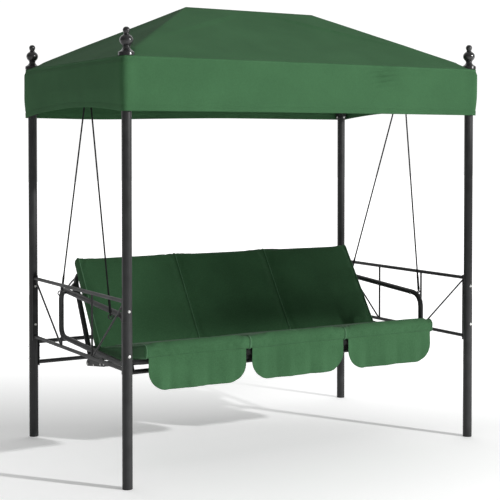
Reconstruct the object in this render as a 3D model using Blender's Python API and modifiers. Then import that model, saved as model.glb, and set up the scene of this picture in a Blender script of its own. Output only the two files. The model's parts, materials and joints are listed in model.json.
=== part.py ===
"""A garden swing bench under its own fabric canopy, as an assembly of separate solids.

Metres, +Z up, the front at -Y, +X to the right seen from the front, origin on the floor at the middle of
the four feet. The bench swings on two pins through the roof beams, and its backrest reclines on a hinge
behind the seat.
"""

import math

import bmesh
import bpy
from mathutils import Matrix, Vector

# Overall frame
POST_X = 0.9014
POST_Y = 0.5346
POST_WALL = 0.0015
LOWER_POST_RADIUS = 0.0214
POST_SIDES = 16
UPPER_POST_RADIUS = 0.0207
POST_JOINT_Z = 0.685
POST_TOP_Z = 1.772
SPIGOT_LENGTH = 0.070
FOOT_THICKNESS = 0.004
GAP = 0.0003

# Side panels, rear panel and roof frames: tubes between end plates
PLATE_THICKNESS = 0.004
PLATE_WIDTH = 0.028
SIDE_RAIL_ZS = (0.485, 0.766)
SIDE_RAIL_RADIUS = 0.0085
UPRIGHT_Y = 0.175
UPRIGHT_RADIUS = 0.0048
BRACE_RADIUS = 0.0044
REAR_RAIL_ZS = (0.359, 0.457)
REAR_RAIL_RADIUS = 0.0098
ROOF_RAIL_Z = 1.747
ROOF_RAIL_RADIUS = 0.0125
ROOF_LOWER_RAIL_Z = 1.605
ROOF_LOWER_RAIL_RADIUS = 0.0085
TUBE_WALL = 0.0015
BOLT_HOLE_RADIUS = 0.0033
SIDE_BOLT_ZS = (0.545, 0.729)
REAR_BOLT_ZS = (0.3785, 0.4365)
ROOF_BOLT_Z = 1.562

# Canopy
CANOPY_X = 0.930
CANOPY_Y = 0.565
VALANCE_Z = 1.545
EAVE_Z = 1.770
RIDGE_Z = 2.050
RIDGE_X = 0.350
CANOPY_THICKNESS = 0.003
SIDE_ARCH_RISE = 0.0215
FINIAL_Z = POST_TOP_Z + 0.0046
FINIAL_BASE_RADIUS = 0.033

# Swing: pivot pins, ropes and armrests
PIVOT = Vector((0.0, -0.064, 1.747))
HANGER_X = 0.870
PIN_RADIUS = 0.0050
PIN_CLEARANCE = 0.0003
ROPE_RADIUS = 0.0033
ROPE_HOLE_DROP = 0.041
ARMREST_X = 0.800
ARMREST_TOP = ((-0.300, 0.6696), (0.430, 0.7192))
ARMREST_BOTTOM = ((-0.300, 0.4610), (0.430, 0.4925))
FRAME_TUBE_RADIUS = 0.0125
EYE_X = 0.840
EYE_RADIUS = 0.011
EYE_WIRE_RADIUS = 0.0027
EYES_YZ = {"front": (-0.235, 0.667), "rear": (0.344, 0.7085)}

# Seat and backrest, in the YZ plane
SEAT_X = 0.762
SEAT_FRONT = (-0.405, 0.490)
SEAT_REAR = (0.060, 0.408)
STRETCHER = (-0.350, 0.440)
STRETCHER_REACH = 0.800
STRETCHER_RADIUS = 0.0105
STRUT_Y = -0.285
STRUT_RADIUS = 0.0070
HINGE = Vector((0.0, 0.154, 0.402))
BACK_TILT = math.radians(27.8)
BACK_LENGTH = 0.450
LOWER_BAR_AT = 0.070
BAR_RADIUS = 0.0095
SLING_HALF_WIDTH = 0.690
SLING_THICKNESS = 0.0025
LINK_PLATE_X = 0.781
PLATE_DEPTH = 0.003
CLAMP_RADIUS = 0.3966
CLAMP_ANGLE = math.radians(52.6)
RECLINE = math.radians(14.0)
ARMREST_STUD_Y = 0.070
SEAT_STUD_YS = (-0.245, -0.030, 0.010)
BACKREST_STUDS_AT = (0.336, 0.368)

# Cushions
CUSHION_WIDTH = 0.512
CUSHION_SPACING = 0.004
CUSHION_THICKNESS = 0.045
CREASE = (0.040, 0.490)
SEAT_TOP_FRONT = (-0.420, 0.564)
BACK_TOP = (0.302, 0.875)
SKIRT_Y = -0.4265
SKIRT_Z = (0.367, 0.530)
SKIRT_HALF_WIDTH = 0.242
SKIRT_THICKNESS = 0.003

SIDES = {"left": -1, "right": 1}
ENDS = {"front": -1, "rear": 1}
YZ_PLANE = Matrix(((0, 0, 1, 0), (1, 0, 0, 0), (0, 1, 0, 0), (0, 0, 0, 1)))
XZ_PLANE = Matrix(((1, 0, 0, 0), (0, 0, -1, 0), (0, 1, 0, 0), (0, 0, 0, 1)))
ALONG_X = Matrix.Rotation(math.radians(90), 4, "Y")


# ---------------------------------------------------------------- helpers


def clear_scene():
    for obj in list(bpy.data.objects):
        bpy.data.objects.remove(obj, do_unlink=True)


def new_collection(name, hidden=False):
    collection = bpy.data.collections.new(name)
    collection.hide_render = hidden
    bpy.context.scene.collection.children.link(collection)
    return collection


def new_material(name, colour, roughness, metallic=0.0):
    material = bpy.data.materials.new(name)
    material.use_nodes = True
    shader = material.node_tree.nodes["Principled BSDF"]
    shader.inputs["Base Color"].default_value = (*colour, 1.0)
    shader.inputs["Roughness"].default_value = roughness
    shader.inputs["Metallic"].default_value = metallic
    return material


def new_pivot(name, location, parent=None):
    """An empty on a joint's axis, which carries the pieces that turn about it."""
    pivot = bpy.data.objects.new(name, None)
    PARTS.objects.link(pivot)
    pivot.empty_display_size = 0.05
    pivot.location = location
    if parent:
        pivot.parent = parent
        pivot.location -= parent.location
    return pivot


def baked(obj):
    """The object's evaluated mesh, welded, with its place in the mesh. The object is removed."""
    bpy.context.view_layer.update()
    evaluated = obj.evaluated_get(bpy.context.evaluated_depsgraph_get())
    mesh = bpy.data.meshes.new_from_object(evaluated)
    mesh.transform(obj.matrix_world)
    shape = bmesh.new()
    shape.from_mesh(mesh)
    bmesh.ops.remove_doubles(shape, verts=shape.verts, dist=0.00001)
    shape.to_mesh(mesh)
    shape.free()
    bpy.data.objects.remove(obj, do_unlink=True)
    return mesh


def helper_object(data):
    obj = bpy.data.objects.new("helper", data)
    CUTTERS.objects.link(obj)
    obj.hide_render = True
    obj.display_type = "WIRE"
    return obj


def place(name, mesh, material, pivot=None):
    """Makes a mesh, given in world coordinates, one named sub-part with its origin on its pivot."""
    mesh.name = name
    mesh.materials.clear()
    mesh.materials.append(material)
    mesh.shade_smooth()
    mesh.set_sharp_from_angle(angle=math.radians(35))
    obj = bpy.data.objects.new(name, mesh)
    PARTS.objects.link(obj)
    if pivot:
        origin = pivot.matrix_world.translation
        mesh.transform(Matrix.Translation(-origin))
        obj.parent = pivot
    return obj


def moved(mesh, matrix):
    copy = mesh.copy()
    copy.transform(matrix)
    if matrix.determinant() < 0:
        copy.flip_normals()
    return copy


def boolean(mesh, others, operation):
    target = helper_object(mesh)
    tools = [helper_object(other) for other in others]
    for tool in tools:
        modifier = target.modifiers.new(operation.title(), "BOOLEAN")
        modifier.operation = operation
        modifier.object = tool
    result = baked(target)
    for tool in tools:
        bpy.data.objects.remove(tool, do_unlink=True)
    return result


def cut(mesh, cutters):
    return boolean(mesh, cutters, "DIFFERENCE")


def joined(meshes):
    return boolean(meshes[0], meshes[1:], "UNION")


def turned(profile, steps):
    """A turned shape about Z from (radius, z) points that run down its outer side."""
    mesh = bpy.data.meshes.new("profile")
    points = [(radius, 0.0, z) for radius, z in profile]
    edges = [(i, i + 1) for i in range(len(points) - 1)]
    if profile[0][0] > 0:
        edges.append((len(points) - 1, 0))
    mesh.from_pydata(points, edges, [])
    obj = helper_object(mesh)
    screw = obj.modifiers.new("Screw", "SCREW")
    screw.steps = screw.render_steps = steps
    screw.use_merge_vertices = True
    screw.merge_threshold = 0.00005
    return baked(obj)


def pipe(inner, outer, low, high, steps):
    return turned([(outer, high), (outer, low), (inner, low), (inner, high)], steps)


def rod(start, end, radius, sides=12):
    """A solid round bar between two points."""
    start, end = Vector(start), Vector(end)
    shape = bmesh.new()
    bmesh.ops.create_cone(shape, cap_ends=True, segments=sides, radius1=radius, radius2=radius,
                          depth=(end - start).length)
    mesh = bpy.data.meshes.new("rod")
    shape.to_mesh(mesh)
    shape.free()
    turn = Vector((0, 0, 1)).rotation_difference(end - start).to_matrix().to_4x4()
    mesh.transform(Matrix.Translation((start + end) / 2) @ turn)
    return mesh


def box(low, high):
    low, high = Vector(low), Vector(high)
    shape = bmesh.new()
    bmesh.ops.create_cube(shape, size=1.0)
    mesh = bpy.data.meshes.new("box")
    shape.to_mesh(mesh)
    shape.free()
    mesh.transform(Matrix.Translation((low + high) / 2) @ Matrix.Diagonal((*(high - low), 1.0)))
    return mesh


def rounded(corners, radii, steps=5, closed=True):
    """A path of straight runs whose corners are arcs of the given radii (0 keeps a corner sharp)."""
    corners = [Vector(corner) for corner in corners]
    count = len(corners)
    path = []
    for i, corner in enumerate(corners):
        radius = radii[i] if isinstance(radii, (list, tuple)) else radii
        if radius == 0 or (not closed and i in (0, count - 1)):
            path.append(corner)
            continue
        back = (corners[i - 1] - corner).normalized()
        ahead = (corners[(i + 1) % count] - corner).normalized()
        half = back.angle(ahead) / 2
        centre = corner + (back + ahead).normalized() * (radius / math.sin(half))
        start = corner + back * (radius / math.tan(half)) - centre
        end = corner + ahead * (radius / math.tan(half)) - centre
        sweep = start.angle(end)
        for k in range(steps + 1):
            share = k / steps
            point = start * math.sin((1 - share) * sweep) + end * math.sin(share * sweep)
            path.append(centre + point / math.sin(sweep))
    return path


def tube(path, radius, resolution=4, closed=False, wall=0.0):
    """A round tube along a path. With a wall it is hollow, and open at its ends unless it is a loop."""
    curve = bpy.data.curves.new("tube", "CURVE")
    curve.dimensions = "3D"
    curve.bevel_depth = radius
    curve.bevel_resolution = resolution
    curve.use_fill_caps = not (closed or wall)
    spline = curve.splines.new("POLY")
    spline.points.add(len(path) - 1)
    for point, place_at in zip(spline.points, path):
        point.co = (*place_at, 1.0)
    spline.use_cyclic_u = closed
    mesh = baked(helper_object(curve))
    if not wall:
        return mesh
    obj = helper_object(mesh)
    solidify = obj.modifiers.new("Wall", "SOLIDIFY")
    solidify.thickness = wall
    solidify.offset = -1
    return baked(obj)


def plate(outlines, thickness, plane, offset):
    """A flat plate: the first outline is its edge and the others are holes. offset is its middle's place."""
    curve = bpy.data.curves.new("plate", "CURVE")
    curve.dimensions = "2D"
    curve.fill_mode = "BOTH"
    curve.extrude = thickness / 2
    for outline in outlines:
        spline = curve.splines.new("POLY")
        spline.points.add(len(outline) - 1)
        for point, place_at in zip(spline.points, outline):
            point.co = (place_at[0], place_at[1], 0.0, 1.0)
        spline.use_cyclic_u = True
    return moved(baked(helper_object(curve)), Matrix.Translation(offset) @ plane)


def circle(centre, radius, sides=12):
    steps = [2 * math.pi * k / sides for k in range(sides)]
    return [(centre[0] + radius * math.cos(a), centre[1] + radius * math.sin(a)) for a in steps]


def hull_of_circles(circles, steps=4):
    """The outline of a belt drawn round circles (y, z, radius), listed anticlockwise."""
    outline = []
    count = len(circles)
    for i, (y, z, radius) in enumerate(circles):
        normals = []
        for first, second in ((circles[i - 1], circles[i]), (circles[i], circles[(i + 1) % count])):
            run = Vector((second[0] - first[0], second[1] - first[1]))
            lean = math.asin((first[2] - second[2]) / run.length)
            normals.append(math.atan2(run.y, run.x) - math.pi / 2 + lean)
        sweep = (normals[1] - normals[0]) % (2 * math.pi)
        for k in range(steps + 1):
            angle = normals[0] + sweep * k / steps
            outline.append((y + radius * math.cos(angle), z + radius * math.sin(angle)))
    return outline


def pressed_stud(base_x, tip_x, y, z, radius=0.0030):
    """A stud that is part of a plate: its base lies inside the plate and its tip in the next tube."""
    return rod((base_x, y, z), (tip_x, y, z), radius, 8)


# ---------------------------------------------------------------- posts


def lower_post(x, y):
    mesh = pipe(LOWER_POST_RADIUS - POST_WALL, LOWER_POST_RADIUS, FOOT_THICKNESS, POST_JOINT_Z, POST_SIDES)
    low_z = SIDE_BOLT_ZS[0]
    holes = [rod((0, -0.03, low_z), (0, 0.03, low_z), BOLT_HOLE_RADIUS, 8)]
    if y > 0:
        holes += [rod((-0.03, 0, z), (0.03, 0, z), BOLT_HOLE_RADIUS, 8) for z in REAR_BOLT_ZS]
    return moved(cut(mesh, holes), Matrix.Translation((x, y, 0)))


def upper_post(x, y):
    spigot = LOWER_POST_RADIUS - POST_WALL - GAP
    bore = UPPER_POST_RADIUS - POST_WALL
    base = POST_JOINT_Z + GAP
    mesh = turned([(UPPER_POST_RADIUS, POST_TOP_Z), (UPPER_POST_RADIUS, base), (spigot, base),
                   (spigot, base - SPIGOT_LENGTH), (spigot - POST_WALL, base - SPIGOT_LENGTH),
                   (spigot - POST_WALL, base + 0.004), (bore, base + 0.010), (bore, POST_TOP_Z)], POST_SIDES)
    inward_x, inward_y = -math.copysign(0.03, x), -math.copysign(0.03, y)
    high_z = SIDE_BOLT_ZS[1]
    middle = (0, 0, ROOF_BOLT_Z)
    holes = [rod((0, -0.03, high_z), (0, 0.03, high_z), BOLT_HOLE_RADIUS, 8),
             rod(middle, (inward_x, 0, ROOF_BOLT_Z), BOLT_HOLE_RADIUS, 8),
             rod(middle, (0, inward_y, ROOF_BOLT_Z), BOLT_HOLE_RADIUS, 8)]
    return moved(cut(mesh, holes), Matrix.Translation((x, y, 0)))


def foot_cap():
    plug = LOWER_POST_RADIUS - POST_WALL - GAP
    top = FOOT_THICKNESS - GAP
    return turned([(0.0, 0.030), (plug, 0.030), (plug, top), (LOWER_POST_RADIUS, top),
                   (LOWER_POST_RADIUS, 0.0), (0.0, 0.0)], POST_SIDES)


def finial():
    """A turned ball finial with the spigot that sits in the post's top."""
    spigot = UPPER_POST_RADIUS - POST_WALL - 0.0007
    profile = [(0.0, 0.108), (0.0148, 0.094), (0.0106, 0.075), (0.0300, 0.054), (0.0178, 0.030),
               (0.0290, 0.010), (FINIAL_BASE_RADIUS, 0.004), (FINIAL_BASE_RADIUS, 0.0), (spigot, 0.0),
               (spigot, -0.040), (0.0, -0.040)]
    return turned(profile, 14)


def build_posts():
    for end, end_sign in ENDS.items():
        for side, sign in SIDES.items():
            x, y = sign * POST_X, end_sign * POST_Y
            place(f"lower_post_{end}_{side}", lower_post(x, y), BLACK_PAINT)
            place(f"upper_post_{end}_{side}", upper_post(x, y), BLACK_PAINT)
            at = Matrix.Translation((x, y, FINIAL_Z))
            place(f"finial_{end}_{side}", moved(finial(), at), BLACK_GLOSS)
            at = Matrix.Translation((x, y, 0))
            place(f"foot_cap_{end}_{side}", moved(foot_cap(), at), BLACK_PLASTIC)


# ---------------------------------------------------------------- panels and roof frames


def end_plates(reach, z_low, z_high, along):
    """The two plates that lie against the posts, at +-reach along 'X' or 'Y', in the local frame."""
    meshes = []
    for sign in (-1, 1):
        near, far = sorted((sign * reach, sign * (reach - PLATE_THICKNESS)))
        half = PLATE_WIDTH / 2
        if along == "X":
            meshes.append(box((near, -half, z_low), (far, half, z_high)))
        else:
            meshes.append(box((-half, near, z_low), (half, far, z_high)))
    return meshes


def framed(along, reach, rails, z_low, z_high, bolt_zs, extra=()):
    """Round rails (z, radius) welded between end plates, bored through, with bolt holes in the plates."""
    axis = Vector((1, 0, 0)) if along == "X" else Vector((0, 1, 0))
    inner = reach - PLATE_THICKNESS / 2
    meshes = end_plates(reach, z_low, z_high, along)
    for z, radius in rails:
        up = Vector((0, 0, z))
        meshes.append(rod(up - axis * inner, up + axis * inner, radius, 10))
    meshes.extend(extra)
    cutters = []
    for z, radius in rails:
        up = Vector((0, 0, z))
        cutters.append(rod(up - axis * (reach + 0.01), up + axis * (reach + 0.01), radius - TUBE_WALL, 8))
    for z in bolt_zs:
        up = Vector((0, 0, z))
        for sign in (-1, 1):
            middle = axis * (sign * (reach - PLATE_THICKNESS / 2))
            cutters.append(rod(up + middle - axis * 0.01, up + middle + axis * 0.01, BOLT_HOLE_RADIUS, 8))
    return cut(joined(meshes), cutters)


def side_panel():
    """Two rails, two uprights and two diagonals between the front and the rear post."""
    reach = POST_Y - LOWER_POST_RADIUS - GAP
    low, high = SIDE_RAIL_ZS
    extra = []
    for sign in (-1, 1):
        y = sign * UPRIGHT_Y
        extra.append(rod((0, y, low), (0, y, high), UPRIGHT_RADIUS, 8))
        foot = (0, y + sign * 0.006, low + 0.003)
        extra.append(rod(foot, (0, sign * (reach - 0.003), high - 0.001), BRACE_RADIUS, 6))
    rails = [(z, SIDE_RAIL_RADIUS) for z in SIDE_RAIL_ZS]
    return framed("Y", reach, rails, low - 0.018, high + 0.014, SIDE_BOLT_ZS, extra)


def rear_panel():
    reach = POST_X - LOWER_POST_RADIUS - GAP
    rails = [(z, REAR_RAIL_RADIUS) for z in REAR_RAIL_ZS]
    mesh = framed("X", reach, rails, 0.343, 0.473, REAR_BOLT_ZS)
    return moved(mesh, Matrix.Translation((0, POST_Y, 0)))


def roof_frame(along, reach):
    rails = [(ROOF_RAIL_Z, ROOF_RAIL_RADIUS), (ROOF_LOWER_RAIL_Z, ROOF_LOWER_RAIL_RADIUS)]
    return framed(along, reach - UPPER_POST_RADIUS - GAP, rails, 1.552, 1.7635, (ROOF_BOLT_Z,))


def build_panels():
    panel = side_panel()
    side_frame = roof_frame("Y", POST_Y)
    end_frame = roof_frame("X", POST_X)
    pin_hole = rod((-0.03, PIVOT.y, PIVOT.z), (0.03, PIVOT.y, PIVOT.z), PIN_RADIUS + PIN_CLEARANCE, 14)
    side_frame = cut(side_frame, [pin_hole])
    for side, sign in SIDES.items():
        at = Matrix.Translation((sign * POST_X, 0, 0))
        place(f"side_panel_{side}", moved(panel, at), BLACK_PAINT)
        place(f"roof_beam_{side}", moved(side_frame, at), BLACK_PAINT)
    for end, sign in ENDS.items():
        at = Matrix.Translation((0, sign * POST_Y, 0))
        place(f"roof_rail_{end}", moved(end_frame, at), BLACK_PAINT)
    place("rear_panel", rear_panel(), BLACK_PAINT)


def build_roof():
    bar_z = RIDGE_Z - 0.0165
    hub = turned([(0.0, bar_z + 0.0035), (0.016, bar_z + 0.0035), (0.016, bar_z - 0.025),
                  (0.0, bar_z - 0.025)], 12)
    bar = rod((-RIDGE_X, 0, bar_z - 0.006), (RIDGE_X, 0, bar_z - 0.006), BAR_RADIUS)
    hubs = [moved(hub, Matrix.Translation((sign * RIDGE_X, 0, 0))) for sign in (-1, 1)]
    place("ridge_bar", joined([bar, *hubs]), BLACK_PAINT)

    for end, end_sign in ENDS.items():
        for side, sign in SIDES.items():
            foot = Vector((sign * 0.872, end_sign * 0.508, 1.7722))
            head = Vector((sign * RIDGE_X, 0, bar_z - 0.002))
            head -= (head - foot).normalized() * 0.0235
            rafter = tube([foot, head], 0.0080, wall=0.0012)
            place(f"rafter_{end}_{side}", rafter, BLACK_PAINT)


def canopy_shell():
    """The outer surface of roof and valance, open below, thickened inward."""
    shape = bmesh.new()
    bmesh.ops.create_cube(shape, size=1.0)
    for vert in shape.verts:
        vert.co.x *= 2 * CANOPY_X
        vert.co.y *= 2 * CANOPY_Y
        vert.co.z = EAVE_Z if vert.co.z > 0 else VALANCE_Z
    level = [face for face in shape.faces if abs(face.normal.z) > 0.5]
    bmesh.ops.delete(shape, geom=level, context="FACES_ONLY")
    rim = [edge for edge in shape.edges if edge.is_boundary and edge.verts[0].co.z > EAVE_Z - 0.01]
    raised = bmesh.ops.extrude_edge_only(shape, edges=rim)["geom"]
    for vert in (item for item in raised if isinstance(item, bmesh.types.BMVert)):
        vert.co = (math.copysign(RIDGE_X, vert.co.x), 0.0, RIDGE_Z)
    bmesh.ops.recalc_face_normals(shape, faces=shape.faces)
    bmesh.ops.remove_doubles(shape, verts=shape.verts, dist=0.0001)
    upright = [edge for edge in shape.edges if abs(edge.verts[0].co.z - edge.verts[1].co.z) > 0.2
               and abs(edge.verts[0].co.x - edge.verts[1].co.x) < 0.01]
    bmesh.ops.bevel(shape, geom=upright, offset=0.016, segments=3, profile=0.5, affect="EDGES")
    hem = [edge for edge in shape.edges
           if edge.is_boundary and abs(edge.verts[0].co.y - edge.verts[1].co.y) > 1]
    bmesh.ops.subdivide_edges(shape, edges=hem, cuts=9)
    for vert in shape.verts:
        if abs(vert.co.z - VALANCE_Z) < 0.001 and abs(vert.co.x) > CANOPY_X - 0.001:
            vert.co.z += SIDE_ARCH_RISE * (1 - (vert.co.y / (CANOPY_Y - 0.016)) ** 2)
    mesh = bpy.data.meshes.new("canopy")
    shape.normal_update()
    shape.to_mesh(mesh)
    shape.free()
    obj = helper_object(mesh)
    solidify = obj.modifiers.new("Cloth", "SOLIDIFY")
    solidify.thickness = CANOPY_THICKNESS
    solidify.offset = -1
    return baked(obj)


def build_canopy():
    holes = [rod((sx * POST_X, sy * POST_Y, 1.7600), (sx * POST_X, sy * POST_Y, 1.90), 0.0345, 16)
             for sx in (-1, 1) for sy in (-1, 1)]
    place("canopy", cut(canopy_shell(), holes), GREEN_CLOTH)


# ---------------------------------------------------------------- hangers and ropes


def hanger_pin():
    """The pin through the right roof beam, along +X, with its head outside, a spacer and a nut inside."""
    flange = 0.0085
    outer = ROOF_RAIL_RADIUS + GAP
    plate_half = 0.0030 + 0.0006
    reach = HANGER_X - POST_X
    return turned([(0.0, outer + 0.006), (flange, outer + 0.006), (flange, outer), (PIN_RADIUS, outer),
                   (PIN_RADIUS, -outer), (flange, -outer), (flange, reach + plate_half),
                   (PIN_RADIUS, reach + plate_half), (PIN_RADIUS, reach - plate_half),
                   (flange, reach - plate_half), (flange, reach - plate_half - 0.008),
                   (0.0, reach - plate_half - 0.008)], 10)


def rope_hole(end):
    """Where a rope meets its hanger plate, in the YZ plane, on the line from its eye to the pivot."""
    eye_y, eye_z = EYES_YZ[end]
    share = ROPE_HOLE_DROP / (PIVOT.z - eye_z)
    return Vector((PIVOT.y + (eye_y - PIVOT.y) * share, PIVOT.z - ROPE_HOLE_DROP))


def hanger_plate():
    front, rear = rope_hole("front"), rope_hole("rear")
    outline = hull_of_circles([(PIVOT.y, PIVOT.z, 0.013), (*front, 0.008), (*rear, 0.008)])
    holes = [circle((PIVOT.y, PIVOT.z), PIN_RADIUS + PIN_CLEARANCE), circle(front, 0.0032, 8),
             circle(rear, 0.0032, 8)]
    return plate([outline, *holes], 0.006, YZ_PLANE, (0, 0, 0))


def rope_eye():
    """An eye bolt along +X: the eye stands upright beside the armrest and the shank enters the tube."""
    ring = tube([(EYE_RADIUS * math.cos(a), 0, EYE_RADIUS * math.sin(a))
                 for a in (2 * math.pi * k / 12 for k in range(12))], EYE_WIRE_RADIUS, 1, closed=True)
    tube_face = ARMREST_X + FRAME_TUBE_RADIUS - EYE_X
    shank = rod((tube_face - 0.010, 0, 0), (-EYE_RADIUS, 0, 0), 0.0030, 8)
    collar = rod((tube_face + GAP, 0, 0), (tube_face + 0.005, 0, 0), 0.0060, 10)
    return joined([ring, shank, collar])


def build_hangers():
    pin, hanger, eye = hanger_pin(), hanger_plate(), rope_eye()
    for side, sign in SIDES.items():
        mirror = Matrix.Diagonal((sign, 1, 1, 1))
        at = mirror @ Matrix.Translation((POST_X, PIVOT.y, PIVOT.z)) @ ALONG_X
        place(f"hanger_pin_{side}", moved(pin, at), ZINC)
        at = Matrix.Translation((sign * HANGER_X, 0, 0))
        place(f"hanger_plate_{side}", moved(hanger, at), BLACK_PAINT, SWING)
        for end, (y, z) in EYES_YZ.items():
            at = mirror @ Matrix.Translation((EYE_X, y, z))
            place(f"rope_eye_{end}_{side}", moved(eye, at), BLACK_PAINT, SWING)
            bottom = Vector((sign * EYE_X, y, z))
            top = Vector((sign * HANGER_X, *rope_hole(end)))
            run = (top - bottom).normalized()
            bottom += run * (EYE_RADIUS + EYE_WIRE_RADIUS + 2 * GAP)
            top -= run * (0.008 + 2 * GAP)
            place(f"rope_{end}_{side}", tube([bottom, top], ROPE_RADIUS, 1), BLACK_ROPE, SWING)


# ---------------------------------------------------------------- armrests and seat


def armrest():
    """The right armrest: one closed bent tube, with the clamp stud and the seat's lug welded to it."""
    (front_y, front_z), (rear_y, rear_z) = ARMREST_TOP
    corners = [(ARMREST_X, front_y, front_z), (ARMREST_X, rear_y, rear_z),
               (ARMREST_X, rear_y, armrest_bottom(rear_y)), (ARMREST_X, front_y, armrest_bottom(front_y))]
    loop = rounded(corners, (0.062, 0.050, 0.045, 0.045), 4)
    mesh = tube(loop, FRAME_TUBE_RADIUS, 3, closed=True, wall=TUBE_WALL)
    holes = [rod((ARMREST_X, y, z), (ARMREST_X + 0.02, y, z), BOLT_HOLE_RADIUS, 8)
             for y, z in EYES_YZ.values()]
    stud_yz = (ARMREST_STUD_Y, armrest_bottom(ARMREST_STUD_Y))
    holes.append(rod((ARMREST_X - 0.02, *stud_yz), (ARMREST_X, *stud_yz), BOLT_HOLE_RADIUS, 8))
    clamp = HINGE + CLAMP_RADIUS * Vector((0, math.cos(CLAMP_ANGLE), math.sin(CLAMP_ANGLE)))
    stud = pressed_stud(LINK_PLATE_X - PLATE_DEPTH / 2, ARMREST_X, clamp.y, clamp.z, 0.0038)
    return cut(joined([mesh, stud, *welded_lug()]), holes)


def seat_line(y):
    """Height of the seat frame's side tubes over y."""
    (y0, z0), (y1, z1) = SEAT_FRONT, SEAT_REAR
    return z0 + (z1 - z0) * (y - y0) / (y1 - y0)


def armrest_bottom(y):
    """Height of the armrest's bottom tube over y."""
    (y0, z0), (y1, z1) = ARMREST_BOTTOM
    return z0 + (z1 - z0) * (y - y0) / (y1 - y0)


def seat_frame():
    """The seat's closed tube loop, with a stretcher hung below its front by two slanting struts."""
    corners = [(-SEAT_X, *SEAT_FRONT), (SEAT_X, *SEAT_FRONT), (SEAT_X, *SEAT_REAR), (-SEAT_X, *SEAT_REAR)]
    loop = tube(rounded(corners, 0.045, 3), FRAME_TUBE_RADIUS, 3, closed=True, wall=TUBE_WALL)
    y, z = STRETCHER
    stretcher = rod((-STRETCHER_REACH, y, z), (STRETCHER_REACH, y, z), STRETCHER_RADIUS)
    struts = [rod((sign * (STRETCHER_REACH - 0.012), y, z),
                  (sign * (SEAT_X + 0.002), STRUT_Y, seat_line(STRUT_Y) - 0.003), STRUT_RADIUS)
              for sign in (-1, 1)]
    holes = []
    for sign in (-1, 1):
        for y in SEAT_STUD_YS:
            z = seat_line(y)
            holes.append(rod((sign * SEAT_X, y, z), (sign * (SEAT_X + 0.02), y, z), BOLT_HOLE_RADIUS, 8))
    return cut(joined([loop, stretcher, *struts]), holes)


def sleeve_outline(centre, normal, inward, hole):
    """The outer outline of one sleeve, from its top round the bar and back to the sheet's underside."""
    outer = hole + SLING_THICKNESS
    outline = []
    for k in range(11):
        angle = math.radians(30 * k)
        outline.append(centre + (normal * math.cos(angle) - inward * math.sin(angle)) * outer)
    outline.append(centre + normal * hole + inward * (outer * math.sin(math.radians(60)) + 0.001))
    return outline


def sleeve_sheet(first, second, radius):
    """A cloth sheet over two bars, (y, z) in the YZ plane, with a sleeve round each."""
    first, second = Vector(first), Vector(second)
    run = (second - first).normalized()
    normal = Vector((-run.y, run.x))
    hole = radius + 0.0006
    outline = sleeve_outline(first, normal, run, hole) + sleeve_outline(second, normal, -run, hole)[::-1]
    holes = [circle(first, hole, 14), circle(second, hole, 14)]
    return plate([outline, *holes], 2 * SLING_HALF_WIDTH, YZ_PLANE, (0, 0, 0))


def welded_lug():
    """The right armrest's front lug, welded to its bottom tube, with the stud that carries the seat."""
    y, z = SEAT_STUD_YS[0], seat_line(SEAT_STUD_YS[0])
    face = SEAT_X + FRAME_TUBE_RADIUS + GAP
    collar = rod((face, y, z), (ARMREST_X - 0.006, y, z), 0.0075)
    return [collar, pressed_stud(face + 0.002, SEAT_X + 0.004, y, z)]


def hinge_plate():
    """The right link plate: studs into armrest and seat frame, and the bearing hole of the recline pin."""
    seat_points = [(y, seat_line(y)) for y in SEAT_STUD_YS[1:]]
    armrest_point = (ARMREST_STUD_Y, armrest_bottom(ARMREST_STUD_Y))
    outline = hull_of_circles([(*seat_points[0], 0.012), (HINGE.y, HINGE.z, 0.014), (*armrest_point, 0.011)])
    sheet = plate([outline, circle((HINGE.y, HINGE.z), 0.0043, 12)], PLATE_DEPTH, YZ_PLANE,
                  (LINK_PLATE_X, 0, 0))
    studs = [pressed_stud(LINK_PLATE_X, SEAT_X + 0.004, *point) for point in seat_points]
    studs.append(pressed_stud(LINK_PLATE_X, ARMREST_X - 0.004, *armrest_point))
    return joined([sheet, *studs])


def hinge_pin():
    """The right recline pin along X: head outside the plate, collar between plate and tube, inner nut."""
    base = LINK_PLATE_X + PLATE_DEPTH / 2 + GAP
    near = -PLATE_DEPTH - 2 * GAP
    tube_out = SEAT_X + FRAME_TUBE_RADIUS + GAP - base
    tube_in = SEAT_X - FRAME_TUBE_RADIUS - GAP - base
    profile = [(0.0, 0.0050), (0.0085, 0.0050), (0.0085, 0.0), (0.0040, 0.0), (0.0040, near),
               (0.0075, near), (0.0075, tube_out), (0.0040, tube_out), (0.0040, tube_in),
               (0.0075, tube_in), (0.0075, tube_in - 0.005), (0.0, tube_in - 0.005)]
    return moved(turned(profile, 10), Matrix.Translation((base, HINGE.y, HINGE.z)) @ ALONG_X)


def build_seat():
    arm, hinge, pin = armrest(), hinge_plate(), hinge_pin()
    for side, sign in SIDES.items():
        mirror = Matrix.Diagonal((sign, 1, 1, 1))
        place(f"armrest_{side}", moved(arm, mirror), BLACK_PAINT, SWING)
        place(f"hinge_plate_{side}", moved(hinge, mirror), BLACK_PAINT, SWING)
        place(f"hinge_pin_{side}", moved(pin, mirror), ZINC, SWING)
    place("seat_frame", seat_frame(), BLACK_PAINT, SWING)
    sling = sleeve_sheet(SEAT_FRONT, SEAT_REAR, FRAME_TUBE_RADIUS)
    place("seat_sling", sling, BLACK_CLOTH, SWING)


# ---------------------------------------------------------------- backrest


def back_point(along, off=0.0):
    """A point of the backrest plane: along its side tubes from the hinge, off towards the sitter."""
    up = Vector((math.sin(BACK_TILT), math.cos(BACK_TILT)))
    out = Vector((-up.y, up.x))
    return Vector((HINGE.y, HINGE.z)) + up * along + out * off


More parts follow.
